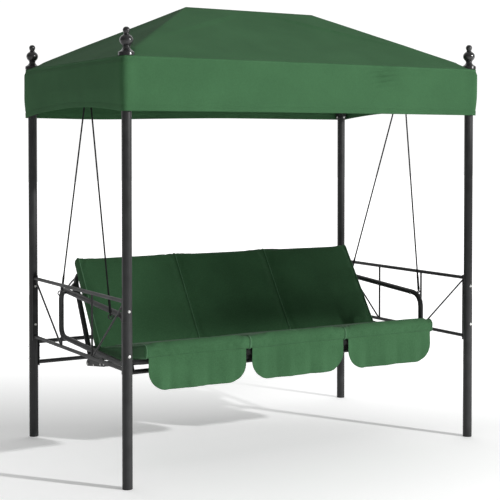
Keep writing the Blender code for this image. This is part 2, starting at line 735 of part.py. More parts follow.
def backrest_frame():
    corners = [(-SEAT_X, *back_point(-0.012)), (-SEAT_X, *back_point(BACK_LENGTH))]
    mirrored = [(-x, y, z) for x, y, z in reversed(corners)]
    path = rounded(corners + mirrored, 0.060, 4, closed=False)
    hoop = tube(path, FRAME_TUBE_RADIUS, 3, wall=TUBE_WALL)
    low = back_point(LOWER_BAR_AT)
    inset = SEAT_X - FRAME_TUBE_RADIUS + 0.0008
    bar = rod((-inset, *low), (inset, *low), BAR_RADIUS, 12)
    holes = [rod((-0.80, HINGE.y, HINGE.z), (0.80, HINGE.y, HINGE.z), 0.0043, 12)]
    for along in BACKREST_STUDS_AT:
        point = back_point(along)
        for sign in (-1, 1):
            holes.append(rod((sign * SEAT_X, *point), (sign * 0.80, *point), BOLT_HOLE_RADIUS, 8))
    return cut(joined([hoop, bar]), holes)


def recline_plate():
    """The right slotted plate: an arc slot about the hinge, for the armrest's clamp stud, and a tab."""
    centre = Vector((HINGE.y, HINGE.z))

    def polar(radius, angle):
        return centre + radius * Vector((math.cos(angle), math.sin(angle)))

    def band(half_width, start, end, steps):
        low, high = CLAMP_RADIUS - half_width, CLAMP_RADIUS + half_width
        path = [polar(high, start + (end - start) * k / steps) for k in range(steps + 1)]
        middle = polar(CLAMP_RADIUS, end)
        path += [middle + half_width * Vector((math.cos(end + a), math.sin(end + a)))
                 for a in (math.pi * k / 6 for k in range(1, 6))]
        path += [polar(low, end + (start - end) * k / steps) for k in range(steps + 1)]
        middle = polar(CLAMP_RADIUS, start)
        path += [middle + half_width * Vector((math.cos(start + a), math.sin(start + a)))
                 for a in (math.pi * (1 + k / 6) for k in range(1, 6))]
        return path

    spare = math.radians(0.15)
    slot_start, slot_end = CLAMP_ANGLE - spare, CLAMP_ANGLE + RECLINE + spare
    at = (LINK_PLATE_X, 0, 0)
    arc = plate([band(0.0125, slot_start, slot_end, 8)], PLATE_DEPTH, YZ_PLANE, at)
    low, high = back_point(BACKREST_STUDS_AT[0]), back_point(BACKREST_STUDS_AT[1] + 0.016)
    tab = plate([hull_of_circles([(*low, 0.010), (*high, 0.010)])], PLATE_DEPTH, YZ_PLANE, at)
    slot = plate([band(0.0045, slot_start, slot_end, 8)], 0.02, YZ_PLANE, at)
    studs = [pressed_stud(LINK_PLATE_X, SEAT_X + 0.004, *back_point(along)) for along in BACKREST_STUDS_AT]
    return joined([cut(joined([arc, tab]), [slot]), *studs])


def build_backrest():
    place("backrest_frame", backrest_frame(), BLACK_PAINT, RECLINER)
    sheet = sleeve_sheet(back_point(LOWER_BAR_AT), back_point(BACK_LENGTH), FRAME_TUBE_RADIUS)
    place("backrest_sling", sheet, BLACK_CLOTH, RECLINER)
    quadrant = recline_plate()
    for side, sign in SIDES.items():
        mirror = Matrix.Diagonal((sign, 1, 1, 1))
        place(f"recline_plate_{side}", moved(quadrant, mirror), BLACK_PAINT, RECLINER)


# ---------------------------------------------------------------- cushions


def cushion(outline, index):
    """One of three pads side by side: an outline in the YZ plane, drawn out along X."""
    width = CUSHION_WIDTH - CUSHION_SPACING
    return plate([outline], width, YZ_PLANE, ((index - 1) * CUSHION_WIDTH, 0, 0))


def seat_outline():
    slope = Vector((CREASE[0] - SEAT_TOP_FRONT[0], CREASE[1] - SEAT_TOP_FRONT[1])).normalized()
    rear_top = Vector(CREASE) - slope * 0.003
    lift = FRAME_TUBE_RADIUS + SLING_THICKNESS + 0.003
    front_low = Vector((-0.432, seat_line(-0.432) + lift))
    rear_low = Vector((0.062, seat_line(0.062) + lift))
    front_top = Vector((-0.432, SEAT_TOP_FRONT[1] + 0.0012))
    corners = [front_low.to_3d(), rear_low.to_3d(), rear_top.to_3d(), front_top.to_3d()]
    return [(p.x, p.y) for p in rounded(corners, (0.014, 0.006, 0.004, 0.020), 4)]


def back_outline():
    up = (Vector(BACK_TOP) - Vector(CREASE)).normalized()
    rearward = Vector((up.y, -up.x)) * CUSHION_THICKNESS
    low, high = Vector(CREASE) + up * 0.006, Vector(BACK_TOP) + up * 0.004
    corners = [low.to_3d(), (low + rearward).to_3d(), (high + rearward).to_3d(), high.to_3d()]
    return [(p.x, p.y) for p in rounded(corners, (0.010, 0.014, 0.018, 0.018), 4)]


def skirt_outline():
    low, high = SKIRT_Z
    half = SKIRT_HALF_WIDTH
    corners = [(-half, low, 0), (half, low, 0), (half, high, 0), (-half, high, 0)]
    return [(p.x, p.y) for p in rounded(corners, (0.070, 0.070, 0.002, 0.002), 6)]


def build_cushions():
    skirt = plate([skirt_outline()], SKIRT_THICKNESS, XZ_PLANE, (0, 0, 0))
    for index, name in enumerate(("left", "middle", "right")):
        hung = moved(skirt, Matrix.Translation(((index - 1) * CUSHION_WIDTH, SKIRT_Y, 0)))
        seat = joined([cushion(seat_outline(), index), hung])
        place(f"seat_cushion_{name}", seat, GREEN_CLOTH, SWING)
        place(f"back_cushion_{name}", cushion(back_outline(), index), GREEN_CLOTH, RECLINER)


clear_scene()
PARTS = new_collection("canopy_swing_bench")
CUTTERS = new_collection("cutters", hidden=True)
BLACK_PAINT = new_material("black_paint", (0.030, 0.030, 0.031), 0.45, 0.2)
BLACK_GLOSS = new_material("black_gloss", (0.010, 0.010, 0.011), 0.18)
BLACK_PLASTIC = new_material("black_plastic", (0.020, 0.020, 0.020), 0.55)
BLACK_ROPE = new_material("black_rope", (0.018, 0.018, 0.018), 0.85)
BLACK_CLOTH = new_material("black_cloth", (0.020, 0.021, 0.021), 0.90)
GREEN_CLOTH = new_material("green_cloth", (0.060, 0.165, 0.072), 0.85)
ZINC = new_material("zinc", (0.620, 0.630, 0.640), 0.35, 1.0)
SWING = new_pivot("swing_pivot", PIVOT)
RECLINER = new_pivot("recline_pivot", HINGE, SWING)
bpy.context.view_layer.update()
build_posts()
build_panels()
build_roof()
build_canopy()
build_hangers()
build_seat()
build_backrest()
build_cushions()
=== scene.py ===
"""The looks of a canopy swing bench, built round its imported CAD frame.

Metres, in the row frame: +Z up, -Y the front, the origin on the floor between the feet. Hard parts keep
their CAD solids and get finer shading and materials. Canopy, cushions, slings, ropes, finials and bolts are
built here in detail.
"""

import json
import math

import bmesh
import bpy
from mathutils import Matrix, Vector, noise


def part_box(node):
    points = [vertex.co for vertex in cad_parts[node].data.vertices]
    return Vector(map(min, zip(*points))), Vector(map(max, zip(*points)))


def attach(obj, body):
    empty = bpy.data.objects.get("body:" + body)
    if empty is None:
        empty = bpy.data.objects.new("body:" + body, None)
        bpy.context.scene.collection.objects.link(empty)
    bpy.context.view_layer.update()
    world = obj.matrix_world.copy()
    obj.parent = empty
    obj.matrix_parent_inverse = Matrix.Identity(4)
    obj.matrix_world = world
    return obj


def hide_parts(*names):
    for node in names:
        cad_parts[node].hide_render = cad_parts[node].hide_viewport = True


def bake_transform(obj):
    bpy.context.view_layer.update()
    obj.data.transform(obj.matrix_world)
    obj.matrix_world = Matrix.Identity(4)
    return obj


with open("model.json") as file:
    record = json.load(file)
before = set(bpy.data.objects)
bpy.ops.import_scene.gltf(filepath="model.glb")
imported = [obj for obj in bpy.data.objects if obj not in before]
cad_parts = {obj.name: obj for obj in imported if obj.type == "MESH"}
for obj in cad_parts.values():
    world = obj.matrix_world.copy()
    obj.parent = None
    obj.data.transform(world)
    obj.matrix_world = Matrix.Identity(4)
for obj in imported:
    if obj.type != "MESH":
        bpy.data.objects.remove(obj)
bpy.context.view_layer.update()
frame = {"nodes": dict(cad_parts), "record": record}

SIDES = {"left": -1, "right": 1}
ENDS = {"front": -1, "rear": 1}

# The frame's places, as in the CAD source
POST_X, POST_Y, POST_JOINT_Z = 0.9014, 0.5346, 0.685
LOWER_RADIUS, UPPER_RADIUS = 0.0214, 0.0207
PIVOT_Y, PIVOT_Z, HANGER_X = -0.064, 1.747, 0.870
ARMREST_X, SEAT_X, TUBE_RADIUS, BAR_RADIUS = 0.800, 0.762, 0.0125, 0.0095
EYES_YZ = {"front": (-0.235, 0.667), "rear": (0.344, 0.7085)}
EYE_X, EYE_RADIUS, HOLE_RADIUS, ROPE_HOLE_DROP = 0.840, 0.011, 0.0052, 0.041
SEAT_FRONT, SEAT_REAR = Vector((-0.405, 0.490)), Vector((0.060, 0.408))
HINGE, BACK_TILT = Vector((0.154, 0.402)), math.radians(27.8)
BACK_UP = Vector((math.sin(BACK_TILT), math.cos(BACK_TILT)))
BACK_LENGTH, LOWER_BAR_AT = 0.450, 0.070
FINIAL_SPIGOT = 0.040

# Bolts: their heights on the posts, their places on the seat's brackets and along the backrest
PANEL_BOLTS_Z, REAR_BOLTS_Z, ROOF_BOLT_Z = (0.545, 0.729), (0.3785, 0.4365), 1.562
BRACKET_FACE_X, BRACKET_BOLTS_YZ = 0.7828, ((-0.030, 0.4239), (0.010, 0.4168), (0.085, 0.4020))
RECLINE_BOLTS_AT = (0.336, 0.368)
BOLT_RADIUS, HEAD_GAP, NUT_GAP = 0.0028, 0.0002, 0.0050

# Canopy: the eave's seam is listed as (stand-out, drop below the eave) of its rings
CANOPY_X, CANOPY_Y, EAVE_Z, RIDGE_Z, RIDGE_X = 0.930, 0.565, 1.770, 2.050, 0.350
VALANCE_Z, SIDE_ARCH, CORNER_RADIUS = 1.545, 0.0265, 0.022
STRAIGHT_X, STRAIGHT_Y = CANOPY_X - CORNER_RADIUS, CANOPY_Y - CORNER_RADIUS
FINIAL_SEAT_Z, VALANCE_TOP_Z = EAVE_Z + 0.0105, EAVE_Z - 0.0105
EAVE_SEAM = ((-0.0020, 0.0006), (-0.0002, 0.0030), (0.0014, 0.0058), (0.0016, 0.0078), (0.0004, 0.0098))
ROOF_RINGS, VALANCE_RINGS = 36, 44
CLOTH_THICKNESS = 0.0012

# Ropes
ROPE_RADIUS, ROPE_LAY, REAR_ROPE_INSET = 0.0038, 0.018, 0.0075
ROPE_FROM_EYE, ROPE_FROM_HOLE = EYE_RADIUS + 0.0036, 0.0092
LOW_SPLICE, HIGH_SPLICE = 0.105, 0.055

# Slings, with the degrees that each sleeve goes round its bar
SLING_HALF, SLING_THICKNESS, SLING_WRAP = 0.690, 0.0012, 300

# Cushions
CUSHION_WIDTH, CUSHION_GAP, OUTER_FULLNESS = 0.512, 0.0004, 0.0060
WELT_RADIUS, WELT_PROUD, WELT_INSET = 0.0021, 0.0004, 0.0098
PAD_RINGS, SWELL_FRAMES, MOST_SWELL = 54, 16, 0.006

# Skirts, from left to right, and their folds as (place, width, height)
SKIRT_HALVES, SKIRT_SHIFTS = (0.2370, 0.2435, 0.2400), (-0.0015, 0.0015, 0.0040)
SKIRT_TOP, SKIRT_LOW, SKIRT_Y, SKIRT_CORNER = 0.5150, 0.3670, -0.4262, 0.084
SKIRT_FOLDS = ((-0.78, 0.10, 0.9), (-0.52, 0.07, -0.7), (-0.16, 0.09, 0.8), (0.22, 0.08, -0.9),
               (0.55, 0.10, 0.8), (0.83, 0.07, -0.6))

# Stage
BEHIND = (0.50, 0.86, 0.0)
FLOOR_REACH = 40.0
KEY_PLACE, KEY_POWER = (4.6, -7.6, 3.9), 3700


# ---------------- node materials


def new_material(name, roughness, metallic=0.0, sheen=0.0, specular=0.5, coat=0.0):
    material = bpy.data.materials.new(name)
    material.use_nodes = True
    shader = material.node_tree.nodes["Principled BSDF"]
    values = {"Roughness": roughness, "Metallic": metallic, "Sheen Weight": sheen, "Sheen Roughness": 0.5,
              "Specular IOR Level": specular, "Coat Weight": coat}
    for socket, value in values.items():
        shader.inputs[socket].default_value = value
    return material


def node(tree, kind, inputs=None, **settings):
    made = tree.nodes.new(kind)
    for key, value in settings.items():
        setattr(made, key, value)
    for key, value in (inputs or {}).items():
        if isinstance(value, bpy.types.NodeSocket):
            tree.links.new(value, made.inputs[key])
        else:
            made.inputs[key].default_value = value
    return made


def noise_value(tree, coords, scale, detail=2.0, roughness=0.5):
    made = node(tree, "ShaderNodeTexNoise", {"Vector": coords, "Scale": scale, "Detail": detail,
                                             "Roughness": roughness})
    return made.outputs["Fac"]


def between(tree, value, low, high, out_low, out_high):
    """Maps a value's range to another, clamped."""
    made = node(tree, "ShaderNodeMapRange", {"Value": value, "From Min": low, "From Max": high,
                                             "To Min": out_low, "To Max": out_high})
    return made.outputs["Result"]


def mixed(tree, factor, first, second):
    made = node(tree, "ShaderNodeMix", {0: factor, 6: first, 7: second}, data_type="RGBA")
    return made.outputs[2]


def maths(tree, operation, *values):
    return node(tree, "ShaderNodeMath", dict(enumerate(values)), operation=operation).outputs[0]


def times(tree, first, second):
    return maths(tree, "MULTIPLY", first, second)


def plus(tree, first, second):
    return maths(tree, "ADD", first, second)


def reach_along(tree, vector, direction):
    """How far a vector reaches along a direction."""
    product = node(tree, "ShaderNodeVectorMath", {0: vector, 1: direction}, operation="DOT_PRODUCT")
    return product.outputs["Value"]


def threads(tree, coords, direction, pitch):
    """Rounded threads: a sine of the place along a direction."""
    return maths(tree, "SINE", times(tree, reach_along(tree, coords, direction), 2 * math.pi / pitch))


def bumped(tree, height, strength, distance):
    bump = node(tree, "ShaderNodeBump", {"Height": height, "Strength": strength, "Distance": distance})
    tree.links.new(bump.outputs["Normal"], tree.nodes["Principled BSDF"].inputs["Normal"])


def coloured(tree, socket, name="Base Color"):
    tree.links.new(socket, tree.nodes["Principled BSDF"].inputs[name])


def object_coords(tree):
    return node(tree, "ShaderNodeTexCoord").outputs["Object"]


def cloth(name, dark, light, pitch, bump=0.25, sheen=0.035, roughness=0.90, open_weave=False):
    """Woven cloth: crossing threads, cloudy shade, slubs and fine grain."""
    material = new_material(name, roughness, sheen=sheen, specular=0.07)
    tree = material.node_tree
    coords = object_coords(tree)
    warp = threads(tree, coords, (1.0, 0.0, 0.0), pitch)
    weft = threads(tree, coords, (0.0, 0.62, 1.0), pitch)
    weave = times(tree, warp, weft)
    clouds = noise_value(tree, coords, 5.0, 3.0)
    slubs = noise_value(tree, coords, 160.0, 2.0)
    shade = plus(tree, times(tree, clouds, 0.55), times(tree, slubs, 0.45))
    shade = plus(tree, shade, times(tree, weave, 0.30 if open_weave else 0.07))
    coloured(tree, mixed(tree, between(tree, shade, 0.32, 0.68, 0.0, 1.0), (*dark, 1), (*light, 1)))
    height = plus(tree, times(tree, weave, 0.6), times(tree, slubs, 0.5))
    bumped(tree, height, bump, 0.0006)
    coloured(tree, between(tree, slubs, 0.3, 0.7, roughness - 0.05, roughness + 0.05), "Roughness")
    return material


def powder_coat(name, colour, roughness):
    """Satin powder coat: orange peel, a faint dust film on faces that look up, and small rubbed specks."""
    material = new_material(name, roughness, specular=0.32)
    tree = material.node_tree
    coords = object_coords(tree)
    peel = noise_value(tree, coords, 900.0, 2.0)
    patches = noise_value(tree, coords, 14.0, 4.0)
    specks = noise_value(tree, coords, 240.0, 3.0, 0.7)
    normal = node(tree, "ShaderNodeNewGeometry").outputs["Normal"]
    upward = node(tree, "ShaderNodeSeparateXYZ", {0: normal}).outputs["Z"]
    dust = times(tree, between(tree, upward, 0.3, 1.0, 0.0, 0.07), patches)
    lighter = tuple(c * 2.4 + 0.012 for c in colour)
    base = mixed(tree, between(tree, patches, 0.35, 0.7, 0.0, 0.35), (*colour, 1), (*lighter, 1))
    base = mixed(tree, between(tree, specks, 0.70, 0.78, 0.0, 0.5), base, (*lighter, 1))
    coloured(tree, mixed(tree, dust, base, (0.22, 0.22, 0.21, 1)))
    coloured(tree, between(tree, patches, 0.3, 0.7, roughness - 0.06, roughness + 0.10), "Roughness")
    bumped(tree, peel, 0.18, 0.0003)
    return material


def gloss(name, colour):
    """Glossy moulded finish with faint moulding ripple and fine dust."""
    material = new_material(name, 0.26, specular=0.45, coat=0.15)
    tree = material.node_tree
    coords = object_coords(tree)
    ripple = noise_value(tree, coords, 45.0, 2.0)
    dust = noise_value(tree, coords, 600.0, 3.0, 0.7)
    dusty = between(tree, dust, 0.62, 0.8, 0.0, 0.35)
    coloured(tree, mixed(tree, dusty, (*colour, 1), (0.11, 0.11, 0.11, 1)))
    coloured(tree, between(tree, dust, 0.4, 0.8, 0.24, 0.42), "Roughness")
    bumped(tree, ripple, 0.10, 0.0010)
    return material


def moulded(name, colour):
    """Matt moulded plastic with a leathered grain and scuffs."""
    material = new_material(name, 0.60, specular=0.35)
    tree = material.node_tree
    coords = object_coords(tree)
    grain = node(tree, "ShaderNodeTexVoronoi", {"Vector": coords, "Scale": 700.0}).outputs["Distance"]
    scuffs = noise_value(tree, coords, 60.0, 5.0, 0.7)
    scuffed = between(tree, scuffs, 0.5, 0.75, 0.0, 0.6)
    coloured(tree, mixed(tree, scuffed, (*colour, 1), (0.07, 0.07, 0.068, 1)))
    bumped(tree, grain, 0.25, 0.0003)
    return material


def plated(name, colour):
    """Zinc-plated steel: brushed streaks and cloudy passivation."""
    material = new_material(name, 0.40, metallic=0.72)
    tree = material.node_tree
    coords = object_coords(tree)
    brushed = node(tree, "ShaderNodeMapping", {"Vector": coords, "Scale": (40, 40, 900)}).outputs[0]
    streaks = noise_value(tree, brushed, 1.0, 3.0)
    clouds = noise_value(tree, coords, 120.0, 3.0)
    coloured(tree, mixed(tree, clouds, (*colour, 1), (0.80, 0.79, 0.74, 1)))
    coloured(tree, between(tree, streaks, 0.3, 0.7, 0.32, 0.50), "Roughness")
    bumped(tree, streaks, 0.12, 0.0002)
    return material


def rope_material(name):
    """Twisted rope: hairy strands in near black."""
    material = new_material(name, 0.90, specular=0.08)
    tree = material.node_tree
    coords = object_coords(tree)
    fibre = noise_value(tree, coords, 1400.0, 3.0, 0.7)
    worn = noise_value(tree, coords, 30.0, 3.0)
    hairs = times(tree, fibre, worn)
    coloured(tree, mixed(tree, hairs, (0.006, 0.006, 0.007, 1), (0.045, 0.045, 0.044, 1)))
    bumped(tree, fibre, 0.35, 0.0004)
    return material


GREEN = cloth("green_cloth", (0.036, 0.097, 0.043), (0.053, 0.139, 0.063), 0.0022, sheen=0.055)
GREEN_TOP = cloth("green_canopy_cloth", (0.0385, 0.103, 0.046), (0.049, 0.130, 0.058), 0.0026, 0.2, 0.008)
EAVE = cloth("green_eave_cloth", (0.041, 0.110, 0.049), (0.053, 0.138, 0.063), 0.0014, 0.3, 0.02)
# The welts' cloth is a lighter green than the cushions': a painted highlight along the seams.
WELT_PAINTED_HIGHLIGHT = cloth("green_welt_cloth_painted_highlight", (0.080, 0.185, 0.095), (0.120, 0.250, 0.140), 0.0014, 0.3, 0.12)
BLACK_WEAVE = cloth("black_sling_cloth", (0.005, 0.005, 0.005), (0.024, 0.025, 0.0245), 0.0040, 0.6, 0.05,
                    open_weave=True)
PAINT = powder_coat("black_powder_coat", (0.0215, 0.022, 0.0225), 0.46)
GLOSS = gloss("black_gloss", (0.019, 0.019, 0.0195))
PLASTIC = moulded("black_plastic", (0.016, 0.016, 0.016))
ZINC = plated("zinc_plate", (0.66, 0.67, 0.68))
ROPE = rope_material("black_rope")
SLOT_MATERIALS = {"black_paint": PAINT, "black_gloss": GLOSS, "black_plastic": PLASTIC, "black_rope": ROPE,
                  "black_cloth": BLACK_WEAVE, "green_cloth": GREEN, "zinc": ZINC}


# ---------------- mesh helpers


def add_object(name, mesh, material, body=None):
    mesh.name = name
    mesh.materials.clear()
    mesh.materials.append(material)
    obj = bpy.data.objects.new(name, mesh)
    bpy.context.scene.collection.objects.link(obj)
    if body:
        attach(obj, body)
    return obj


def mesh_from(points, faces, smooth_angle=50, merge=1e-6):
    """A mesh with close points merged, its faces turned outward and its real edges kept sharp."""
    mesh = bpy.data.meshes.new("mesh")
    shape = bmesh.new()
    verts = [shape.verts.new(p) for p in points]
    for face in faces:
        shape.faces.new([verts[i] for i in face])
    bmesh.ops.remove_doubles(shape, verts=shape.verts, dist=merge)
    bmesh.ops.dissolve_degenerate(shape, edges=shape.edges, dist=1e-7)
    bmesh.ops.recalc_face_normals(shape, faces=shape.faces)
    shape.to_mesh(mesh)
    shape.free()
    mesh.shade_smooth()
    mesh.set_sharp_from_angle(angle=math.radians(smooth_angle))
    return mesh


def loft(rings, closed_ring=True, closed_rings=False, caps=False, smooth_angle=50, merge=1e-6):
    """A surface through rings of equally many points."""
    count = len(rings[0])
    points = [Vector(p) for ring in rings for p in ring]
    faces = []
    last = len(rings) if closed_rings else len(rings) - 1
    for i in range(last):
        a, b = i * count, ((i + 1) % len(rings)) * count
        for j in range(count if closed_ring else count - 1):
            k = (j + 1) % count
            faces.append((a + j, a + k, b + k, b + j))
    if caps:
        faces.append(tuple(range(count))[::-1])
        faces.append(tuple(range((len(rings) - 1) * count, len(rings) * count)))
    return mesh_from(points, faces, smooth_angle, merge)


def lathe(profile, segments=40, matrix=Matrix.Identity(4), smooth_angle=35):
    """A turned solid about Z from (radius, z) points, then placed by a matrix."""
    rings = []
    for k in range(segments):
        angle = 2 * math.pi * k / segments
        rings.append([matrix @ Vector((r * math.cos(angle), r * math.sin(angle), z)) for r, z in profile])
    return loft(rings, closed_ring=False, closed_rings=True, smooth_angle=smooth_angle, merge=1e-5)


def frames_along(path):
    """Two directions across a path at each of its points, without twist."""
    path = [Vector(p) for p in path]
    tangents = []
    for i in range(len(path)):
        ahead = path[min(i + 1, len(path) - 1)] - path[max(i - 1, 0)]
        tangents.append(ahead.normalized())
    normal = tangents[0].orthogonal().normalized()
    frames = []
    for tangent in tangents:
        normal = (normal - tangent * normal.dot(tangent)).normalized()
        frames.append((normal, tangent.cross(normal)))
    return frames


def sweep(path, radius_at, sides=12, caps=True, smooth_angle=60):
    """A tube along a path whose radius is radius_at(place along, angle)."""
    rings, along = [], 0.0
    for i, (normal, side) in enumerate(frames_along(path)):
        point = Vector(path[i])
        if i:
            along += (point - Vector(path[i - 1])).length
        ring = []
        for k in range(sides):
            angle = 2 * math.pi * k / sides
            r = radius_at(along, angle)
            ring.append(point + normal * (r * math.cos(angle)) + side * (r * math.sin(angle)))
        rings.append(ring)
    return loft(rings, caps=caps, smooth_angle=smooth_angle)


def gather(meshes):
    """Several meshes joined into one."""
    shape = bmesh.new()
    for mesh in meshes:
        shape.from_mesh(mesh)
    result = bpy.data.meshes.new("gathered")
    shape.to_mesh(result)
    shape.free()
    return result


def wave(x, y, z, scale, seed=0.0):
    """Smooth noise between -1 and 1 at a place."""
    return noise.noise(Vector((x * scale + seed, y * scale - seed, z * scale + 2 * seed)))


def ease(t):
    """0 to 1 with level ends, as t goes from 0 to 1."""
    t = min(1.0, max(0.0, t))
    return t * t * (3 - 2 * t)


def modifier(obj, kind, **settings):
    made = obj.modifiers.new(kind.title(), kind)
    for key, value in settings.items():
        setattr(made, key, value)
    return made


def applied(obj):
    """Applies an object's modifiers for good."""
    bpy.context.view_layer.update()
    evaluated = obj.evaluated_get(bpy.context.evaluated_depsgraph_get())
    mesh = bpy.data.meshes.new_from_object(evaluated)
    obj.modifiers.clear()
    obj.data = mesh
    return obj


# ---------------- hard CAD parts


def smoothing_group():
    """Welds the CAD facets and keeps only real edges sharp."""
    group = bpy.data.node_groups.new("smooth_by_angle", "GeometryNodeTree")
    group.interface.new_socket("Geometry", in_out="INPUT", socket_type="NodeSocketGeometry")
    group.interface.new_socket("Geometry", in_out="OUTPUT", socket_type="NodeSocketGeometry")
    start, end = group.nodes.new("NodeGroupInput"), group.nodes.new("NodeGroupOutput")
    weld = node(group, "GeometryNodeMergeByDistance", {"Geometry": start.outputs[0], "Distance": 0.00002})
    smooth = node(group, "GeometryNodeSetShadeSmooth", {"Geometry": weld.outputs[0], "Shade Smooth": True})
    angle = node(group, "GeometryNodeInputMeshEdgeAngle").outputs["Unsigned Angle"]
    sharp = node(group, "FunctionNodeCompare", {0: angle, 1: math.radians(40)},
                 data_type="FLOAT", operation="GREATER_THAN").outputs[0]
    edges = node(group, "GeometryNodeSetShadeSmooth",
                 {"Geometry": smooth.outputs[0], "Selection": sharp, "Shade Smooth": False}, domain="EDGE")
    group.links.new(edges.outputs[0], end.inputs[0])
    return group


def dress_cad_nodes():
    """Gives each CAD solid its slot's material and smooth shading between its real edges."""
    group = smoothing_group()
    slots = {row["node"]: row["material_slot"] for row in frame["record"]["subparts"]}
    for name, obj in frame["nodes"].items():
        mesh = obj.data
        if "custom_normal" in mesh.attributes:
            mesh.attributes.remove(mesh.attributes["custom_normal"])
        mesh.materials.clear()
        mesh.materials.append(SLOT_MATERIALS[slots[name]])
        smooth = obj.modifiers.new("Smooth", "NODES")
        smooth.node_group = group


# ---------------- canopy


def eave_runs():
    """Lengths of the straight and round runs of the eave in plan, from its front middle."""
    arc = math.pi * CORNER_RADIUS / 2
    return [STRAIGHT_X, arc, 2 * STRAIGHT_Y, arc, 2 * STRAIGHT_X, arc, 2 * STRAIGHT_Y, arc, STRAIGHT_X]


def eave_point(i, place):
    """The plan point at a distance along run i of the eave."""
    corners = {1: (STRAIGHT_X, -STRAIGHT_Y, -90), 3: (STRAIGHT_X, STRAIGHT_Y, 0),
               5: (-STRAIGHT_X, STRAIGHT_Y, 90), 7: (-STRAIGHT_X, -STRAIGHT_Y, 180)}
    if i in corners:
        x, y, start = corners[i]
        angle = math.radians(start) + place / CORNER_RADIUS
        return x + CORNER_RADIUS * math.cos(angle), y + CORNER_RADIUS * math.sin(angle)
    straights = {0: (place, -CANOPY_Y), 2: (CANOPY_X, place - STRAIGHT_Y), 4: (STRAIGHT_X - place, CANOPY_Y),
                 6: (-CANOPY_X, STRAIGHT_Y - place), 8: (place - STRAIGHT_X, -CANOPY_Y)}
    return straights[i]


def eave_outline():
    """Plan points round the eave, close together at its corners."""
    counts = [48, 6, 58, 6, 96, 6, 58, 6, 48]
    return [eave_point(i, run * k / count)
            for i, (run, count) in enumerate(zip(eave_runs(), counts)) for k in range(count)]


def outward(x, y):
    """Unit outward direction of the valance at a plan point."""
    from_x = x - math.copysign(STRAIGHT_X, x) if abs(x) > STRAIGHT_X else 0.0
    from_y = y - math.copysign(STRAIGHT_Y, y) if abs(y) > STRAIGHT_Y else 0.0
    length = math.hypot(from_x, from_y) or 1.0
    return from_x / length, from_y / length


def valance_bottom(x, y):
    """Height of the hem over a plan point: arched at the sides, nearly level in front and behind."""
    across = x / CANOPY_X
    if abs(y) < STRAIGHT_Y:
        offset = 0.003 if x > 0 else -0.001 - 0.007 * ease((y / STRAIGHT_Y + 1) / 2)
        return VALANCE_Z + offset + (SIDE_ARCH + 0.003) * (1 - (y / STRAIGHT_Y) ** 2)
    if y < 0:
        right, left = max(0.0, across), max(0.0, -across)
        rise = 0.004 * right + 0.003 * right ** 4 + 0.002 * left ** 2
        return VALANCE_Z - 0.003 + rise + 0.006 * (1 - across ** 2)
    dip = 0.003 * math.exp(-((across + 0.62) / 0.25) ** 2)
    return VALANCE_Z - 0.008 + 0.011 * ease((across + 0.6) / 0.9) - dip


def valance_point(x, y, z, out):
    """A point of the valance at a height, standing out from the eave's plan point."""
    out_x, out_y = outward(x, y)
    return Vector((x + out_x * out, y + out_y * out, z))


def hanging_point(x, y, share):
    """A point of the valance at a share of the way from the eave's seam to the hem."""
    z = VALANCE_TOP_Z + (valance_bottom(x, y) - VALANCE_TOP_Z) * share
    sway = 0.0036 * wave(x, y, z * 0.25, 3.2, 7.0) + 0.0014 * wave(x, y, z * 0.3, 11.0, 1.0)
    out = 0.0008 + sway * ease((share - 0.15) / 0.85)
    if y < -0.5:
        crease = math.exp(-((x - 0.37) / 0.055) ** 2 - ((z - 1.716) / 0.034) ** 2)
        out += 0.0050 * crease * math.sin(2 * math.pi * (z - 0.14 * x) / 0.023)
    full = 0.0065 * ease(share / 0.10) * (1 - ease((share - 0.55) / 0.45))
    out += full if abs(y) < CANOPY_Y - 1e-6 else full * ease((abs(x) - 0.86) / 0.048)
    if share > 0.90:
        out += 0.0009
    if 0.86 < share < 0.905:
        out -= 0.0007
    return valance_point(x, y, z, out)


def roof_point(x, y, t):
    """The roof cloth over a plan point: straight on the hips, hollow between them, flat under a finial."""
    if abs(y) * CANOPY_X > abs(x) * CANOPY_Y * 0.9:
        depth = 0.010 * (1 - min(1.0, abs(x) / (RIDGE_X + t * (CANOPY_X - RIDGE_X))) ** 2)
    else:
        depth = 0.007 * (1 - min(1.0, abs(y) / max(0.02, t * CANOPY_Y)) ** 2)
    sag = math.sin(math.pi * min(1.0, t)) ** 0.8
    z = RIDGE_Z - (RIDGE_Z - EAVE_Z) * t - depth * sag - 0.0012 * (1 - t)
    z += 0.0018 * wave(x, y, 0, 5.0, 3.1) * sag
    from_post = math.hypot(abs(x) - POST_X, abs(y) - POST_Y)
    under_finial = 1 - ease((from_post - 0.0325) / 0.0165)
    return Vector((x, y, z - max(0.0, z - FINIAL_SEAT_Z) * under_finial))


def roof_ring(outline, t):
    """One ring of the roof cloth, with t 0 at the ridge and 1 at the eave."""
    half_x, half_y = RIDGE_X + t * (CANOPY_X - RIDGE_X), t * CANOPY_Y
    inset = 0.0055 * ease((t - 0.80) / 0.20)
    ring = []
    for x, y in outline:
        ring_x = x * half_x / CANOPY_X if abs(y) > STRAIGHT_Y else math.copysign(half_x, x)
        out_x, out_y = outward(x, y)
        ring.append(roof_point(ring_x - out_x * inset, y * half_y / CANOPY_Y - out_y * inset, t))
    return ring


